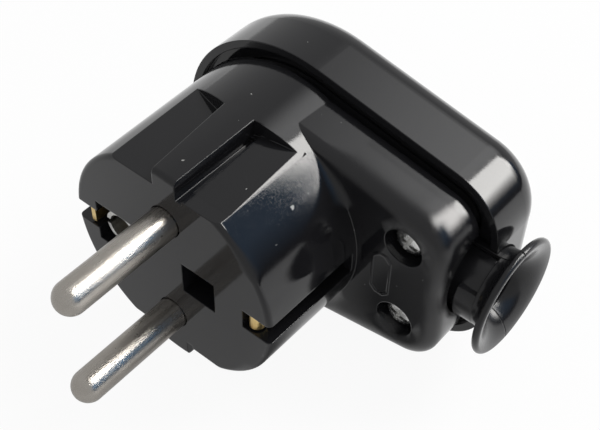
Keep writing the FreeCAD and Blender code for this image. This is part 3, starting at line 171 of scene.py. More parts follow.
def axes_of(tree, vector):
    """The X, Y and Z sockets of a vector."""
    node = add(tree, "ShaderNodeSeparateXYZ")
    link(tree, vector, node.inputs["Vector"])
    return node.outputs


def distance_from(tree, place, vector, label):
    """How far a vector's tip is from a fixed place."""
    node = add(tree, "ShaderNodeVectorMath", label, operation="DISTANCE")
    link(tree, vector, node.inputs[0])
    node.inputs[1].default_value = place
    return node.outputs["Value"]


print("helpers for places: ready")


# %% Helpers for numbers
def math_node(tree, operation, first, second):
    node = add(tree, "ShaderNodeMath", operation=operation)
    feed(tree, first, node.inputs[0])
    feed(tree, second, node.inputs[1])
    return node.outputs["Value"]


def plus(tree, first, second):
    return math_node(tree, "ADD", first, second)


def times(tree, first, second):
    return math_node(tree, "MULTIPLY", first, second)


def greater(tree, first, second):
    return math_node(tree, "MAXIMUM", first, second)


def spread(tree, value, low, high, to_low, to_high):
    """Maps a value from one range to another and keeps it inside."""
    node = add(tree, "ShaderNodeMapRange", clamp=True)
    link(tree, value, node.inputs["Value"])
    for socket, number in (("From Min", low), ("From Max", high), ("To Min", to_low), ("To Max", to_high)):
        node.inputs[socket].default_value = number
    return node.outputs["Result"]


def rising(tree, value, low, high):
    """0 below low and 1 above high, both in mm."""
    return spread(tree, value, low * MM, high * MM, 0.0, 1.0)


def falling(tree, value, low, high):
    """1 below low and 0 above high, both in mm."""
    return spread(tree, value, low * MM, high * MM, 1.0, 0.0)


print("helpers for numbers: ready")


# %% Helpers for patterns and colours
def noise(tree, vector, scale, detail=4.0, roughness=0.5):
    node = add(tree, "ShaderNodeTexNoise", Scale=scale, Detail=detail, Roughness=roughness)
    link(tree, vector, node.inputs["Vector"])
    return node.outputs["Fac"]


def mixed(tree, factor, first, second):
    """A colour mix; first and second are colours or sockets."""
    node = add(tree, "ShaderNodeMix", data_type="RGBA")
    link(tree, factor, node.inputs["Factor"])
    feed(tree, first, node.inputs[6])
    feed(tree, second, node.inputs[7])
    return node.outputs[2]


def lighter(colour, factor):
    return tuple(part * factor for part in colour[:3]) + (1.0,)


def bumped(tree, height, distance, strength=1.0, under=None):
    """Relief from a height pattern, laid over the relief that is under it."""
    node = add(tree, "ShaderNodeBump", Distance=distance, Strength=strength)
    link(tree, height, node.inputs["Height"])
    if under is not None:
        link(tree, under, node.inputs["Normal"])
    return node.outputs["Normal"]


print("helpers for patterns: ready")

# %% [markdown]
# ## Rounded edges of the mouldings
#
# The CAD model's edges are perfectly sharp, but a moulded edge is a little round and catches
# light along its whole length. A Bevel node gives that look without more faces. On the real
# housing the neck's outer edge is rounded far more than the rest and runs softly into the
# head, so there the node's radius grows. A mask says where: each of its parts climbs from 0
# to 1 between two places, and their product is 1 only where all of them are. A second mask
# takes the rounding away beside one CAD edge that a wedge will cover further down.

# %% Where edges are rounded
EDGE_ROUND = 0.22 * MM
NECK_ROUND = 3.4 * MM
RIM_ASIDE = (8.5, 10.0)
RIM_END = (28.5, 29.5)
RIM_NECK = (10.5, 15.0)
RIM_FRONT = (23.5, 25.0)
OLD_WALL_FROM = (2.2, 15.2)
OLD_WALL_SLOPE = 1.8 / 7.7
OLD_WALL_NEAR = (0.3, 0.4)
OLD_WALL_ASIDE = (3.5, 4.0)
OLD_WALL_HIGH = (15.0, 15.3)


def neck_rim(tree, plain):
    """1 near the outer edge of the neck's front, 0 elsewhere."""
    at = axes_of(tree, plain)
    aside = rising(tree, math_node(tree, "ABSOLUTE", at["Z"], 0.0), *RIM_ASIDE)
    end = rising(tree, at["X"], *RIM_END)
    neck = rising(tree, at["X"], *RIM_NECK)
    front = falling(tree, at["Y"], *RIM_FRONT)
    return times(tree, times(tree, neck, front), greater(tree, aside, end))


def hidden_edge(tree, plain):
    """1 beside the guide's CAD end wall, which the wedge covers, 0 elsewhere."""
    at = axes_of(tree, plain)
    start = (OLD_WALL_FROM[1] - OLD_WALL_FROM[0] * OLD_WALL_SLOPE) * MM
    wall = plus(tree, times(tree, at["X"], OLD_WALL_SLOPE), start)
    off_wall = math_node(tree, "ABSOLUTE", math_node(tree, "SUBTRACT", at["Y"], wall), 0.0)
    near = falling(tree, off_wall, *OLD_WALL_NEAR)
    aside = rising(tree, at["X"], *OLD_WALL_ASIDE)
    high = rising(tree, at["Z"], *OLD_WALL_HIGH)
    return times(tree, times(tree, near, aside), high)


print("rounded edges:", round(EDGE_ROUND / MM, 2), "mm, and", round(NECK_ROUND / MM, 2), "mm at the neck")

# %% [markdown]
# ## Chips and flecks
#
# The head of the photographed plug has one chip and a few light flecks. Each is a ball of a
# given radius round a place on the surface. Noise pushes the coordinates about before the
# distance to that place is measured, so that the ball's outline is ragged.

# %% Chips and flecks: place and radius in mm
MARKS = [
    ((12.94, 10.37, 12.83), 0.32),
    ((14.51, 5.43, 11.02), 0.14),
    ((-1.37, 18.72, 18.17), 0.18),
    ((0.38, 3.81, 18.22), 0.18),
    ((8.05, 6.96, 15.62), 0.12),
]
MARK_WOBBLE = 0.7
MARK_CORE = 0.8
MARK_LIGHT = 0.6


def marks(tree, plain):
    """1 inside the chip and the flecks, 0 elsewhere."""
    wobble = add(tree, "ShaderNodeTexNoise", Scale=2600.0, Detail=3.0)
    link(tree, plain, wobble.inputs["Vector"])
    ragged = add(tree, "ShaderNodeVectorMath", "ragged outline", operation="MULTIPLY_ADD")
    link(tree, wobble.outputs["Color"], ragged.inputs[0])
    ragged.inputs[1].default_value = [MARK_WOBBLE * MM] * 3
    link(tree, plain, ragged.inputs[2])
    total = 0.0
    for place, radius in MARKS:
        middle = [(value + MARK_WOBBLE / 2) * MM for value in place]
        away = distance_from(tree, middle, ragged.outputs["Vector"], "fleck")
        total = greater(tree, falling(tree, away, radius * MARK_CORE, radius), total)
    return total


print("marks on the head:", len(MARKS))

# %% [markdown]
# ## Black mouldings
#
# The housing and the cover are polished black plastic. Close to, such a surface is never
# even: it has a faint waviness from the mould, a haze where hands have touched it, hairline
# scratches and a few specks of dust. The speck pattern is a cell pattern in which only the
# very middle of a cell counts, so a speck shows only where a cell's middle lies in the surface.

# %% Polished black plastic
DUST = (0.55, 0.55, 0.53, 1.0)
SPECK_CORE = (0.014, 0.022)
SPECK_ROUGH = 0.6
HAIR_STRETCH = (1.0, 14.0, 1.0)


def polished_black(name, colour, haze, speck_scale, wide_edge=0.0):
    material, tree, shader = new_material(name, Specular_IOR_Level=0.34, IOR=1.5)
    plain = coordinates(tree)
    patches = noise(tree, plain, scale=70.0, detail=3.0)
    fine = noise(tree, plain, scale=900.0, detail=5.0, roughness=0.65)
    hair = noise(tree, coordinates(tree, HAIR_STRETCH), scale=1500.0, detail=2.0)

    specks = add(tree, "ShaderNodeTexVoronoi", "dust", Scale=speck_scale, Randomness=1.0)
    link(tree, plain, specks.inputs["Vector"])
    speck = spread(tree, specks.outputs["Distance"], *SPECK_CORE, 1.0, 0.0)
    if wide_edge:
        speck = greater(tree, speck, times(tree, marks(tree, plain), MARK_LIGHT))

    shade = mixed(tree, patches, colour, lighter(colour, 1.5))
    link(tree, mixed(tree, speck, shade, DUST), shader.inputs["Base Color"])

    worn = spread(tree, patches, 0.35, 0.75, haze, haze + 0.04)
    worn = plus(tree, worn, spread(tree, fine, 0.45, 0.8, 0.0, 0.06))
    worn = plus(tree, worn, times(tree, speck, SPECK_ROUGH))
    link(tree, worn, shader.inputs["Roughness"])

    edges = add(tree, "ShaderNodeBevel", "round edges", samples=10)
    wider = times(tree, neck_rim(tree, plain), wide_edge)
    narrow = plus(tree, times(tree, hidden_edge(tree, plain), -EDGE_ROUND), EDGE_ROUND)
    link(tree, plus(tree, wider, narrow), edges.inputs["Radius"])
    moulded = noise(tree, plain, scale=160.0, detail=2.0)
    waves = bumped(tree, moulded, distance=0.00006, strength=0.10, under=edges.outputs["Normal"])
    scratched = bumped(tree, hair, distance=0.000006, strength=0.30, under=waves)
    stipple = noise(tree, plain, scale=4500.0, detail=2.0)
    stippled = bumped(tree, stipple, distance=0.0000035, strength=0.8, under=scratched)
    link(tree, stippled, shader.inputs["Normal"])
    return material


housing_black = polished_black("housing_black", (0.0075, 0.0075, 0.0085, 1.0), haze=0.04, speck_scale=420.0,
                               wide_edge=NECK_ROUND)
cover_black = polished_black("cover_black", (0.0085, 0.0085, 0.0095, 1.0), haze=0.07, speck_scale=300.0)
print("black mouldings:", housing_black.name, cover_black.name)

# %% [markdown]
# ## Satin mouldings
#
# The cord guard comes from another mould, with a slightly duller surface, so its highlights
# are a little wider. The clamp bar inside is dull all over.


# %% Satin black plastic
def satin_black(name, colour, roughness):
    material, tree, shader = new_material(name, Specular_IOR_Level=0.28, IOR=1.5)
    plain = coordinates(tree)
    grain = noise(tree, plain, scale=4200.0, detail=3.0, roughness=0.6)
    edges = add(tree, "ShaderNodeBevel", "round edges", samples=6, Radius=EDGE_ROUND)
    patches = noise(tree, plain, scale=120.0, detail=3.0)
    link(tree, mixed(tree, patches, colour, lighter(colour, 1.6)), shader.inputs["Base Color"])
    rough = plus(tree, spread(tree, patches, 0.3, 0.7, roughness, roughness + 0.08),
                 spread(tree, grain, 0.4, 0.7, 0.0, 0.06))
    link(tree, rough, shader.inputs["Roughness"])
    grained = bumped(tree, grain, distance=0.000008, strength=0.4, under=edges.outputs["Normal"])
    link(tree, grained, shader.inputs["Normal"])
    return material


guard_black = satin_black("guard_black", (0.009, 0.009, 0.010, 1.0), roughness=0.15)
clamp_black = satin_black("clamp_black", (0.018, 0.018, 0.019, 1.0), roughness=0.42)
print("satin mouldings:", guard_black.name, clamp_black.name)

# %% [markdown]
# ## Metals
#
# The pins are turned brass with a bright nickel plate. Turning leaves fine rings round the
# pin, use leaves long scratches along it, and the plate itself has a fine grain that breaks
# up every highlight. So the relief is made of three noises: one stretched for the rings, one
# stretched the other way for the scratches, and an even one for the grain.

# %% Turned and plated metal
ROUND_THE_PIN = (1.0, 60.0, 1.0)
ALONG_THE_PIN = (1.0, 0.04, 1.0)
ACROSS_THE_HEAD = (40.0, 1.0, 12.0)
EVEN = (1.0, 1.0, 1.0)


def turned_metal(name, colour, tint, roughness, rings=ROUND_THE_PIN, scratches=ALONG_THE_PIN):
    material, tree, shader = new_material(name, Metallic=1.0, IOR=1.5)
    ring = noise(tree, coordinates(tree, rings), scale=60.0, detail=6.0, roughness=0.7)
    scratch = noise(tree, coordinates(tree, scratches), scale=2400.0, detail=3.0, roughness=0.6)
    patch = noise(tree, coordinates(tree), scale=240.0)
    link(tree, mixed(tree, patch, colour, tint), shader.inputs["Base Color"])
    rough = plus(tree, spread(tree, scratch, 0.45, 0.75, roughness, roughness + 0.16),
                 spread(tree, patch, 0.4, 0.75, 0.0, 0.10))
    link(tree, rough, shader.inputs["Roughness"])
    ringed = bumped(tree, ring, distance=0.000012, strength=0.5)
    scratched = bumped(tree, scratch, distance=0.000008, strength=0.35, under=ringed)
    grain = noise(tree, coordinates(tree), scale=4200.0, detail=2.0, roughness=0.6)
    link(tree, bumped(tree, grain, distance=0.000040, under=scratched), shader.inputs["Normal"])
    return material


nickel_pin = turned_metal("nickel_pin", (0.42, 0.40, 0.37, 1.0), (0.29, 0.265, 0.235, 1.0), 0.24)
brass_turned = turned_metal("brass_turned", (0.72, 0.53, 0.24, 1.0), (0.60, 0.42, 0.18, 1.0), 0.20)
steel_screw = turned_metal("steel_screw", (0.86, 0.86, 0.85, 1.0), (0.50, 0.50, 0.49, 1.0), 0.17,
                           rings=ACROSS_THE_HEAD, scratches=EVEN)
print("turned metals:", nickel_pin.name, brass_turned.name, steel_screw.name)

# %% [markdown]
# ## Sheet metal
#
# The strap, the earth socket and the washer plate are stamped from rolled sheet. Rolling
# draws the surface out in one direction, so their grain is noise stretched along the strip,
# and stains from handling change both its colour and its gloss.

# %% Rolled and stamped sheet
ALONG_X = (0.05, 1.0, 1.0)
ALONG_Y = (1.0, 0.05, 1.0)


def sheet_metal(name, colour, tint, roughness, grain=ALONG_X):
    material, tree, shader = new_material(name, Metallic=1.0, IOR=1.5)
    rolled = noise(tree, coordinates(tree, grain), scale=2600.0, roughness=0.6)
    stain = noise(tree, coordinates(tree), scale=380.0, detail=5.0, roughness=0.6)
    stained = spread(tree, stain, 0.4, 0.7, 0.0, 1.0)
    link(tree, mixed(tree, stained, colour, tint), shader.inputs["Base Color"])
    rough = plus(tree, spread(tree, rolled, 0.4, 0.7, roughness, roughness + 0.12),
                 spread(tree, stain, 0.4, 0.7, 0.0, 0.12))
    link(tree, rough, shader.inputs["Roughness"])
    link(tree, bumped(tree, rolled, distance=0.00001, strength=0.5), shader.inputs["Normal"])
    return material


brass_strip = sheet_metal("brass_strip", (0.86, 0.66, 0.30, 1.0), (0.62, 0.43, 0.17, 1.0), 0.26)
nickel_sheet = sheet_metal("nickel_sheet", (0.66, 0.66, 0.64, 1.0), (0.45, 0.44, 0.42, 1.0), 0.22, ALONG_Y)
steel_plate = sheet_metal("steel_plate", (0.56, 0.56, 0.56, 1.0), (0.44, 0.44, 0.42, 1.0), 0.30)
print("sheet metals:", brass_strip.name, nickel_sheet.name, steel_plate.name)

# %% [markdown]
# ## Pressed insulating plate
#
# The plate that holds the pins down is stiff pressed board, mottled and a little rough. Noise
# stretched along Z gives its fibres, and the same noise drives colour, roughness and relief.

# %% Pressed board
FIBRE_STRETCH = (1.0, 1.0, 0.25)
BOARD_DARK = (0.17, 0.13, 0.09, 1.0)
BOARD_LIGHT = (0.40, 0.33, 0.25, 1.0)

insulating_plate, tree, shader = new_material("insulating_plate", Specular_IOR_Level=0.35)
fibres = noise(tree, coordinates(tree, FIBRE_STRETCH), scale=1800.0, detail=5.0, roughness=0.7)
link(tree, mixed(tree, fibres, BOARD_DARK, BOARD_LIGHT), shader.inputs["Base Color"])
link(tree, spread(tree, fibres, 0.3, 0.7, 0.65, 0.85), shader.inputs["Roughness"])
link(tree, bumped(tree, fibres, distance=0.00004, strength=0.6), shader.inputs["Normal"])
print("board:", insulating_plate.name)

# %% [markdown]
# ## Finishes on the CAD nodes
#
# The record names a material slot for each node, so the finish with that name goes on it.

# %% Put the finishes on
FINISHES = {material.name: material for material in (
    housing_black, cover_black, guard_black, clamp_black, nickel_pin, brass_turned, steel_screw,
    brass_strip, nickel_sheet, steel_plate, insulating_plate)}
for part in frame["record"]["subparts"]:
    for place in nodes[part["node"]].material_slots:
        place.material = FINISHES[part["material_slot"]]

# %% [markdown]
# ## Draft of the guide beside the groove
#
# A mould lets go of a deep notch only if its floor and end wall lean a little. On the real
# plug the floor of the guide on the cord side climbs by half a millimetre towards the rear,
# and its end wall comes forward, which moves the bright edge line beside the highlight. The
# CAD housing has that floor level, so a thin wedge lies on it. Its floor, its end wall and
# its outer side are worked out from the head's own cone. Only the faces that show are made,
# so the wedge is an open sheet that lies against the housing.

# %% Sizes of the wedge
HEAD_RADIUS = 18.1 * MM
HEAD_DRAFT = 0.25
HEAD_LENGTH = 25.6
GUIDE_FLOOR = 15.45 * MM
FLOOR_LIFT = 0.01 * MM
WEDGE_START = 2.2 * MM
WEDGE_IN = 3.3 * MM
WEDGE_OUT = 9.45 * MM
WALL_NEW = (15.33 * MM, 16.0 * MM)
CLIMB = 0.0358
CLIMB_FROM = 15.37 * MM


def cone_radius(y):
    """The head's radius at y; it grows by the draft over the head's length."""
    return HEAD_RADIUS + HEAD_DRAFT * y / HEAD_LENGTH


def old_wall(x):
    """Where the CAD end wall of the guide stands at x."""
    return OLD_WALL_FROM[1] * MM + (x - OLD_WALL_FROM[0] * MM) * OLD_WALL_SLOPE


def on_cone(x, y):
    return (x, y, math.sqrt(cone_radius(y) ** 2 - x ** 2))


def floor_height(y):
    return max(GUIDE_FLOOR + FLOOR_LIFT, CLIMB_FROM + CLIMB * y)


print("wedge climbs to", round(floor_height(WALL_NEW[1]) / MM, 2), "mm")


# %% Rows of the wedge's floor and side
def floor_row(share, columns):
    """Points across the wedge's floor, from its inner edge to the head's cone."""
    inner_y = WEDGE_START + (WALL_NEW[0] - WEDGE_START) * share
    outer_y = WEDGE_START + (WALL_NEW[1] - WEDGE_START) * share
    outer_x = math.sqrt(cone_radius(outer_y) ** 2 - floor_height(outer_y) ** 2)
    row = []
    for column in range(columns + 1):
        across = column / columns
        y = inner_y + (outer_y - inner_y) * across
        row.append((WEDGE_IN + (outer_x - WEDGE_IN) * across, y, floor_height(y)))
    return row


def side_row(corner, steps):
    """Points down the cone, from a floor row's outer corner to the CAD floor."""
    radius = cone_radius(corner[1])
    top = math.asin(corner[2] / radius)
    foot = math.asin(GUIDE_FLOOR / radius)
    angles = [top + (foot - top) * step / steps for step in range(1, steps + 1)]
    return [corner] + [(radius * math.cos(angle), corner[1], radius * math.sin(angle)) for angle in angles]


def end_rows(last_row, last_side, steps):
    """The end wall's top line, and the lines before and behind the strip that joins it to the head."""
    wall_top = [on_cone(x, y) for x, y, z in last_row[:-1]] + [last_row[-1]]
    start_x = last_row[-1][0]
    behind = [x for x, y, z in wall_top]
    behind += [start_x + (WEDGE_OUT - start_x) * step / steps for step in range(1, steps + 1)]
    return wall_top, wall_top + last_side[1:], [on_cone(x, old_wall(x)) for x in behind]


print("one floor row has", len(floor_row(0.5, 6)), "points")


# %% Wedge in the guide
def wedge_mesh(rows=12, columns=6, steps=4):
    """The faces of the wedge that show: floor, outer side, end wall and the strip behind it."""
    points = []
    faces = []

    def strip(first, second):
        start = len(points)
        count = len(first)
        points.extend(first + second)
        for i in range(start, start + count - 1):
            faces.append((i, i + 1, i + 1 + count, i + count))

    floors = [floor_row(row / rows, columns) for row in range(rows + 1)]
    sides = [side_row(row[-1], steps) for row in floors]
    for row in range(rows):
        strip(floors[row], floors[row + 1])
        strip(sides[row], sides[row + 1])
    wall_top, before, behind = end_rows(floors[-1], sides[-1], steps)
    strip(floors[-1], wall_top)
    strip(before, behind)
    mesh = bpy.data.meshes.new("guide_wedge")
    mesh.from_pydata(points, [], faces)
    return mesh


WEDGE_SHARP = math.radians(25)
wedge = bpy.data.objects.new("guide_wedge", wedge_mesh())
scene.collection.objects.link(wedge)
build = bmesh.new()
build.from_mesh(wedge.data)
bmesh.ops.remove_doubles(build, verts=build.verts, dist=1e-6)
bmesh.ops.recalc_face_normals(build, faces=build.faces)
if sum(face.normal.z * face.calc_area() for face in build.faces) < 0:
    bmesh.ops.reverse_faces(build, faces=build.faces)
build.to_mesh(wedge.data)
build.free()
wedge.data.materials.append(housing_black)
wedge.data.shade_smooth()
wedge.data.set_sharp_from_angle(angle=WEDGE_SHARP)
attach(wedge, "root")
print("guide wedge:", len(wedge.data.polygons), "faces")

# %% [markdown]
# ## Screws
#
# The real screws are cold headed: a wire is upset into a low rounded head, and the thread is
# rolled into its shank as a ridge that winds round it. The two cover screws have a cross
# recess, and the screws inside have a driver slot. All eight are the same form with other
# sizes, so one Geometry Nodes tree makes them, and its inputs are those sizes in metres.

# %% Inputs of the screw tree
SCREW_SIZES = {"Head Radius": 0.00225, "Head Height": 0.00197, "Dome": 0.0006, "Core Radius": 0.00125,
               "Length": 0.0125, "Pitch": 0.0005, "Ridge": 0.0002, "Recess Length": 0.0031,
               "Recess Width": 0.00062, "Recess Depth": 0.0014, "Recess Turn": 0.0, "Second Bar Turn": 1.5708}
screws = bpy.data.node_groups.new("screw_maker", "GeometryNodeTree")
for size_name, size_value in SCREW_SIZES.items():
    socket = screws.interface.new_socket(name=size_name, in_out="INPUT", socket_type="NodeSocketFloat")
    socket.default_value = size_value
screws.interface.new_socket(name="Finish", in_out="INPUT", socket_type="NodeSocketMaterial")
screws.interface.new_socket(name="Geometry", in_out="OUTPUT", socket_type="NodeSocketGeometry")
SCREW_SOCKETS = {item.name: item.identifier for item in screws.interface.items_tree}
sizes = add(screws, "NodeGroupInput", "sizes").outputs
print("screw inputs:", len(SCREW_SOCKETS))


# %% Helpers for geometry nodes
def along(tree, x=0.0, y=0.0, z=0.0):
    """A vector whose parts are numbers or sockets."""
    node = add(tree, "ShaderNodeCombineXYZ")
    for socket, value in zip(node.inputs, (x, y, z)):
        feed(tree, value, socket)
    return node.outputs["Vector"]


def moved(tree, geometry, place=None, turn=None):
    node = add(tree, "GeometryNodeTransform")
    link(tree, geometry, node.inputs["Geometry"])
    if place is not None:
        link(tree, place, node.inputs["Translation"])
    if turn is not None:
        link(tree, turn, node.inputs["Rotation"])
    return node.outputs["Geometry"]


def column(tree, radius, depth, sides, side_rings, cap_rings):
    node = add(tree, "GeometryNodeMeshCylinder", Vertices=sides, Side_Segments=side_rings,
               Fill_Segments=cap_rings)
    node.fill_type = "TRIANGLE_FAN"
    link(tree, radius, node.inputs["Radius"])
    link(tree, depth, node.inputs["Depth"])
    return node.outputs["Mesh"]


def cut_out(tree, body, tool, label):
    node = add(tree, "GeometryNodeMeshBoolean", label, operation="DIFFERENCE", solver="EXACT")
    link(tree, body, node.inputs["Mesh 1"])
    link(tree, tool, node.inputs["Mesh 2"])
    return node.outputs["Mesh"]


print("helpers for geometry: ready")

# %% [markdown]
# ### Head
#
# The head starts as a cylinder round the Z axis. Each of its points is lowered by an amount
# that grows with its distance from the axis and with its height, so the top falls away
# towards the edge and the underside stays flat. The head ends up with its top at z = 0.

# %% Head of a screw
DOME_POWER = 3.2
blank = column(screws, sizes["Head Radius"], sizes["Head Height"], sides=56, side_rings=4, cap_rings=12)
at = axes_of(screws, add(screws, "GeometryNodeInputPosition").outputs["Position"])
from_axis = plus(screws, math_node(screws, "POWER", at["X"], 2.0), math_node(screws, "POWER", at["Y"], 2.0))
from_axis = math_node(screws, "SQRT", from_axis, 0.0)
share_out = math_node(screws, "DIVIDE", from_axis, sizes["Head Radius"])
share_up = plus(screws, math_node(screws, "DIVIDE", at["Z"], sizes["Head Height"]), 0.5)
fall = times(screws, math_node(screws, "POWER", share_out, DOME_POWER), share_up)
fall = times(screws, fall, sizes["Dome"])
half_head = times(screws, sizes["Head Height"], 0.5)
drop = times(screws, plus(screws, fall, half_head), -1.0)
domed = add(screws, "GeometryNodeSetPosition", "domed head")
link(screws, blank, domed.inputs["Geometry"])
link(screws, along(screws, z=drop), domed.inputs["Offset"])
print("head:", len(screws.nodes), "nodes so far")

# %% [markdown]
# ### Driver recess
#
# Two bars cut the recess out of the head. Turned a quarter against each other they leave a
# cross, and turned alike they leave a plain slot.

# %% Recess of a screw
bar = add(screws, "GeometryNodeMeshCube", "recess bar")
twice_deep = times(screws, sizes["Recess Depth"], 2.0)
link(screws, along(screws, sizes["Recess Length"], sizes["Recess Width"], twice_deep), bar.inputs["Size"])
first_bar = moved(screws, bar.outputs["Mesh"], turn=along(screws, z=sizes["Recess Turn"]))
second_turn = plus(screws, sizes["Recess Turn"], sizes["Second Bar Turn"])
second_bar = moved(screws, bar.outputs["Mesh"], turn=along(screws, z=second_turn))
head = cut_out(screws, domed.outputs["Geometry"], first_bar, "first bar")
head = cut_out(screws, head, second_bar, "second bar")
print("recess:", len(screws.nodes), "nodes so far")

# %% [markdown]
# ### Shank and thread
#
# The shank is a plain cylinder under the head. The thread is a four-sided profile swept
# along a spiral that lies on the shank, one turn for each pitch.

# %% Shank and thread of a screw
shank_long = math_node(screws, "SUBTRACT", sizes["Length"], sizes["Head Height"])
shank_middle = times(screws, plus(screws, sizes["Length"], sizes["Head Height"]), -0.5)
shank = column(screws, sizes["Core Radius"], shank_long, sides=24, side_rings=1, cap_rings=2)
shank = moved(screws, shank, place=along(screws, z=shank_middle))
thread_long = math_node(screws, "SUBTRACT", shank_long, times(screws, sizes["Pitch"], 2.0))
spiral = add(screws, "GeometryNodeCurveSpiral", "thread line", Resolution=24)
link(screws, math_node(screws, "DIVIDE", thread_long, sizes["Pitch"]), spiral.inputs["Rotations"])
link(screws, sizes["Core Radius"], spiral.inputs["Start Radius"])
link(screws, sizes["Core Radius"], spiral.inputs["End Radius"])
link(screws, thread_long, spiral.inputs["Height"])
upright = add(screws, "GeometryNodeSetCurveNormal", "ridge stands out", mode="Z_UP")
link(screws, spiral.outputs["Curve"], upright.inputs["Curve"])
profile = add(screws, "GeometryNodeCurvePrimitiveCircle", "ridge profile", Resolution=4)
link(screws, sizes["Ridge"], profile.inputs["Radius"])
sweep = add(screws, "GeometryNodeCurveToMesh", "thread", Fill_Caps=True)
link(screws, upright.outputs["Curve"], sweep.inputs["Curve"])
link(screws, profile.outputs["Curve"], sweep.inputs["Profile Curve"])
thread_foot = math_node(screws, "SUBTRACT", sizes["Pitch"], sizes["Length"])
thread = moved(screws, sweep.outputs["Mesh"], place=along(screws, z=thread_foot))
print("thread:", len(screws.nodes), "nodes so far")

# %% Join the screw and give it its finish
together = add(screws, "GeometryNodeJoinGeometry")
for piece in (thread, shank, head):
    link(screws, piece, together.inputs["Geometry"])
real = add(screws, "GeometryNodeRealizeInstances")
finish = add(screws, "GeometryNodeSetMaterial")
link(screws, together.outputs["Geometry"], real.inputs["Geometry"])
link(screws, real.outputs["Geometry"], finish.inputs["Geometry"])
link(screws, sizes["Finish"], finish.inputs["Material"])
link(screws, finish.outputs["Geometry"], add(screws, "NodeGroupOutput").inputs["Geometry"])
print("screw tree:", len(screws.nodes), "nodes")

# %% [markdown]
# ### One mesh for each screw
#
# A maker object runs the tree with one screw's sizes, its result is kept as a plain mesh,
# and the maker goes. The box of the CAD screw gives the length, the head's radius and the
# place. The mesh itself is turned and moved, so its object stays at the origin.

# %% Make the screws
SCREW_SHARP = math.radians(32)


def screw_mesh(name, changes):
    """Runs the screw tree with its usual sizes and these changes."""
    maker = bpy.data.objects.new(name + "_maker", bpy.data.meshes.new(name + "_start"))
    scene.collection.objects.link(maker)
    modifier = maker.modifiers.new("screw", "NODES")
    modifier.node_group = screws
    for size_name, size_value in {**SCREW_SIZES, **changes}.items():
        modifier[SCREW_SOCKETS[size_name]] = size_value
    modifier[SCREW_SOCKETS["Finish"]] = steel_screw
    evaluated = maker.evaluated_get(bpy.context.evaluated_depsgraph_get())
    mesh = bpy.data.meshes.new_from_object(evaluated)
    bpy.data.objects.remove(maker)
    mesh.name = name
    mesh.shade_smooth()
    mesh.set_sharp_from_angle(angle=SCREW_SHARP)
    return mesh


def make_screw(node_name, to_front, changes):
    """Makes the screw that stands for a CAD node; to_front says that its head faces -Y."""
    low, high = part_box(node_name)
    fitted = {"Head Radius": (high.x - low.x) / 2, "Length": high.y - low.y}
    mesh = screw_mesh(node_name + "_threaded", {**fitted, **changes})
    head_y = low.y if to_front else high.y
    turn = Matrix.Rotation(math.radians(90 if to_front else -90), 4, "X")
    mesh.transform(Matrix.Translation(((low.x + high.x) / 2, head_y, (low.z + high.z) / 2)) @ turn)
    screw = bpy.data.objects.new(node_name + "_threaded", mesh)
    scene.collection.objects.link(screw)
    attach(screw, "root")
    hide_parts(node_name)
    print(screw.name, len(mesh.polygons), "faces")


CROSS = {"Recess Turn": math.radians(-20)}
SLOT = {"Dome": 0.0003, "Recess Length": 0.007, "Recess Width": 0.0008, "Recess Depth": 0.0009,
        "Second Bar Turn": 0.0}
TERMINAL_HEAD = 0.0018
OTHER_HEAD = 0.002
for node_name in ("upper_cover_screw", "lower_cover_screw"):
    make_screw(node_name, True, CROSS)
for node_name in ("upper_terminal_screw", "lower_terminal_screw"):
    make_screw(node_name, False, {"Head Height": TERMINAL_HEAD, **SLOT})
for node_name in ("retainer_screw", "earth_terminal_screw", "upper_clamp_screw", "lower_clamp_screw"):
    make_screw(node_name, False, {"Head Height": OTHER_HEAD, **SLOT})

# %% [markdown]
# ## Room
#
# The plug stands in a white room. The world's own light is moderate, so that black stays
# black, but a ray that sees the room directly finds it plainly white, and a ray from a mirror
# finds it a little brighter than its light. The Light Path node tells those rays apart.

# %% Room light
WHITE = (1.0, 1.0, 1.0, 1.0)
ROOM_LIGHT = 0.55
MIRRORED_ROOM = 0.70


def background_rays(tree, seen, mirrored):
    """The share for rays that show the background: seen directly or through glass, or mirrored."""
    rays = add(tree, "ShaderNodeLightPath")
    direct = greater(tree, rays.outputs["Is Camera Ray"], rays.outputs["Is Transmission Ray"])
    return greater(tree, times(tree, direct, seen), times(tree, rays.outputs["Is Glossy Ray"], mirrored))


world = bpy.data.worlds.new("room")
world.use_nodes = True
scene.world = world
tree = world.node_tree
tree.nodes.clear()
extra = background_rays(tree, 1.0 - ROOM_LIGHT, MIRRORED_ROOM - ROOM_LIGHT)
room = add(tree, "ShaderNodeBackground", "room", Color=WHITE)
link(tree, plus(tree, extra, ROOM_LIGHT), room.inputs["Strength"])
link(tree, room.outputs["Background"], add(tree, "ShaderNodeOutputWorld").inputs["Surface"])
print("room light", ROOM_LIGHT)

# %% [markdown]
# ## Floor
#
# A plain white sheet of card lies under the plug. A card that is only lit would look grey
# beside the white room, so for the background's rays most of its white comes from a mix with
# a glow of strength 1. The rest is lit card, which keeps the plug's shadow. In the plug's
# polish, light and shade are painted into that glow: a painted light makes the card brighter
# on the lamp's side, and a painted shadow makes it darkest in the corner between head and
# neck, where the plug would shade it most.

# %% Floor sheet
FLOOR_HALF = 3.0
FLOOR_GAP = 0.02 * MM
floor_z = cad_box[0].z - FLOOR_GAP
floor_mesh = bpy.data.meshes.new("floor")
floor_corners = [(x * FLOOR_HALF, y * FLOOR_HALF, floor_z) for x, y in ((-1, -1), (1, -1), (1, 1), (-1, 1))]
floor_mesh.from_pydata(floor_corners, [], [(0, 1, 2, 3)])
floor = bpy.data.objects.new("floor", floor_mesh)
scene.collection.objects.link(floor)
print("floor at", round(floor_z / MM, 2), "mm")
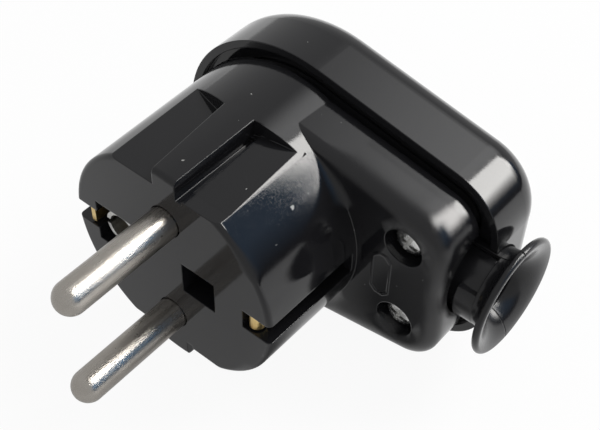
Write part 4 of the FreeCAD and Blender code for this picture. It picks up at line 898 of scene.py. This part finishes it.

# %% White card with a glow for the background's rays, and painted light and shadow for mirror rays
CARD_WHITE = (0.93, 0.93, 0.93, 1.0)
FLOOR_GLOW = 0.93
MIRRORED_GLOW = 0.5
# Painted light towards the lamp's side and painted shadow round the head-neck corner, for mirror rays only:
PAINTED_LIGHT_SIDE = (0.5, 0.866, 0.0)
PAINTED_LIGHT_REACH = 80.0
PAINTED_LIGHT_GLOW = (0.73, 2.0)
PAINTED_SHADOW_CORNER = (0.0205, 0.0040, 0.0)
PAINTED_SHADOW_REACH = (6.0, 13.0)
FLAT = (1.0, 1.0, 0.0)

card, tree, shader = new_material("white_card", Base_Color=CARD_WHITE, Roughness=0.9, Specular_IOR_Level=0.1)
ground = coordinates(tree, FLAT)
# Painted light and shadow: for mirror rays the glow grows towards the lamp's side and drops round the corner
# between head and neck.
to_lamp = add(tree, "ShaderNodeVectorMath", "how far towards the lamp", operation="DOT_PRODUCT")
to_lamp.inputs[1].default_value = PAINTED_LIGHT_SIDE
link(tree, ground, to_lamp.inputs[0])
lit = spread(tree, to_lamp.outputs["Value"], 0.0, PAINTED_LIGHT_REACH * MM, *PAINTED_LIGHT_GLOW)
outside_painted_shadow = rising(tree, distance_from(tree, PAINTED_SHADOW_CORNER, ground, "how far from the dark corner"), *PAINTED_SHADOW_REACH)
painted_light_and_shadow = math_node(tree, "SUBTRACT", times(tree, lit, outside_painted_shadow), 1.0)
painted_light_and_shadow = times(tree, add(tree, "ShaderNodeLightPath").outputs["Is Glossy Ray"], painted_light_and_shadow)
glow = add(tree, "ShaderNodeEmission", "white room", Color=WHITE)
link(tree, plus(tree, painted_light_and_shadow, 1.0), glow.inputs["Strength"])
both = add(tree, "ShaderNodeMixShader", "lit card and glow")
link(tree, background_rays(tree, FLOOR_GLOW, MIRRORED_GLOW), both.inputs["Fac"])
link(tree, shader.outputs["BSDF"], both.inputs[1])
link(tree, glow.outputs["Emission"], both.inputs[2])
link(tree, both.outputs["Shader"], tree.nodes["Material Output"].inputs["Surface"])
floor_mesh.materials.append(card)
print("card:", len(tree.nodes), "nodes")

# %% [markdown]
# ## Lamp
#
# Glossy black shows its surroundings and little else, so it is lit with what it mirrors. The
# photograph has one large soft source behind the plug on the right, whose reflection lies
# along the side of the round head, and something dark and bluish below it. One lamp gives the
# light and the shadow, and the mirror doesn't show it. A lamp's power in watts is its
# brightness times pi times its area, so a larger lamp keeps the same brightness.

# %% Directions round the plug
AIM = Vector((8.0, 14.0, 4.0)) * MM


def towards(azimuth, elevation):
    """The direction from the plug: azimuth 0 is along -Y and 90 along +X."""
    a = math.radians(azimuth)
    e = math.radians(elevation)
    return Vector((math.sin(a) * math.cos(e), -math.cos(a) * math.cos(e), math.sin(e)))


print("the light is aimed at", [round(v / MM, 1) for v in AIM], "mm")

# %% Lamp
KEY_AT = (146.0, 51.0)
KEY_DISTANCE = 0.60
KEY_SIZE = (0.30, 0.24)
KEY_GLOW = 8.0

lamp_data = bpy.data.lights.new("key_lamp", "AREA")
lamp_data.shape = "RECTANGLE"
lamp_data.size, lamp_data.size_y = KEY_SIZE
lamp_data.energy = KEY_GLOW * math.pi * KEY_SIZE[0] * KEY_SIZE[1]
key_lamp = bpy.data.objects.new("key_lamp", lamp_data)
key_lamp.location = AIM + towards(*KEY_AT) * KEY_DISTANCE
key_lamp.rotation_euler = towards(*KEY_AT).to_track_quat("Z", "Y").to_euler()
key_lamp.visible_camera = False
key_lamp.visible_glossy = False
scene.collection.objects.link(key_lamp)
print("key lamp", round(lamp_data.energy, 2), "W")

# %% [markdown]
# ## Cards for the mirror
#
# What the plastic mirrors are three cards that only mirror rays see, each further off than
# the one before: a bright one in the lamp's place, a dark blue one that shows past its lower
# edge, and a wide one that fades into the room. A card's outline is a list of directions
# from the plug, because a reflection depends on directions, and the shape of the highlight
# in the photograph gives them.


# %% Cards that only mirror rays see
def mirror_card(name, outline, distance, material, middle=None):
    """A card on a sphere round the plug; outline holds azimuth and elevation of its corners."""
    mesh = bpy.data.meshes.new(name)
    corners = [AIM + towards(*corner) * distance for corner in outline]
    count = len(corners)
    faces = [tuple(range(count))]
    if middle is not None:
        corners.append(AIM + towards(*middle) * distance)
        faces = [(i, (i + 1) % count, count) for i in range(count)]
    mesh.from_pydata(corners, [], faces)
    mesh.materials.append(material)
    piece = bpy.data.objects.new(name, mesh)
    for ray in ("visible_camera", "visible_diffuse", "visible_shadow", "visible_transmission",
                "visible_volume_scatter"):
        setattr(piece, ray, False)
    scene.collection.objects.link(piece)
    print(name, len(corners), "corners")


def glow_material(name, colour):
    material = bpy.data.materials.new(name)
    material.use_nodes = True
    tree = material.node_tree
    tree.nodes.clear()
    glow = add(tree, "ShaderNodeEmission", name, Color=colour, Strength=1.0)
    link(tree, glow.outputs["Emission"], add(tree, "ShaderNodeOutputMaterial").inputs["Surface"])
    return material, tree, glow


# %% Softbox card, brighter towards its top
SOFTBOX_OUTLINE = [(108, 50.5), (135, 50.3), (139.3, 48.8), (138.6, 47.3), (136.6, 44.5), (134.7, 41.6),
                   (132.6, 38.1), (129.3, 32.1), (126.2, 24.8), (124.3, 17.2), (123.6, 12), (140, 12),
                   (152, 24), (157, 40), (158.5, 53), (157, 63), (130, 66), (108, 62)]
SOFTBOX_DISTANCE = 0.60
SOFTBOX_COLOUR = (1.0, 0.985, 0.96, 1.0)
SOFTBOX_HEIGHTS = (120.0, 260.0)
SOFTBOX_RISE = 19.0

softbox_glow, tree, glow = glow_material("softbox_glow", SOFTBOX_COLOUR)
rise = rising(tree, axes_of(tree, coordinates(tree))["Z"], *SOFTBOX_HEIGHTS)
rise = times(tree, math_node(tree, "POWER", rise, 2.0), SOFTBOX_RISE)
link(tree, plus(tree, rise, 1.0), glow.inputs["Strength"])
mirror_card("softbox_card", SOFTBOX_OUTLINE, SOFTBOX_DISTANCE, softbox_glow)

# %% Ceiling card, fading from its middle
CEILING_OUTLINE = [(140, 30), (160, 24), (180, 22), (200, 24), (215, 34), (222, 50), (215, 70), (180, 84),
                   (145, 74), (138, 50)]
CEILING_MIDDLE = (172, 50)
CEILING_DISTANCE = 0.90
CEILING_FADE = (("From Min", 0.047), ("From Max", 0.343), ("To Min", 3.5), ("To Max", MIRRORED_ROOM))

ceiling_glow, tree, glow = glow_material("ceiling_glow", WHITE)
ceiling_place = AIM + towards(*CEILING_MIDDLE) * CEILING_DISTANCE
away = distance_from(tree, ceiling_place, coordinates(tree), "distance from the middle")
fade = add(tree, "ShaderNodeMapRange", "soft edge", interpolation_type="SMOOTHSTEP")
link(tree, away, fade.inputs["Value"])
for socket, number in CEILING_FADE:
    fade.inputs[socket].default_value = number
link(tree, fade.outputs["Result"], glow.inputs["Strength"])
mirror_card("ceiling_card", CEILING_OUTLINE, CEILING_DISTANCE, ceiling_glow, CEILING_MIDDLE)

# %% Shade card, dark at its foot and blue at its top
SHADE_OUTLINE = [(76, 0.0), (100, 0.0), (125, 0.0), (150, 0.0), (160, 14), (156, 26), (140, 40),
                 (139.5, 49.5), (125, 51.5), (100, 51.5), (80, 42)]
SHADE_DISTANCE = 0.80
SHADE_HEIGHTS = (60.0, 320.0)
SHADE_FOOT = (0.012, 0.014, 0.02, 1.0)
SHADE_TOP = (0.30, 0.53, 0.86, 1.0)

shade_glow, tree, glow = glow_material("shade_glow", WHITE)
height = rising(tree, axes_of(tree, coordinates(tree))["Z"], *SHADE_HEIGHTS)
link(tree, mixed(tree, height, SHADE_FOOT, SHADE_TOP), glow.inputs["Color"])
mirror_card("shade_card", SHADE_OUTLINE, SHADE_DISTANCE, shade_glow)
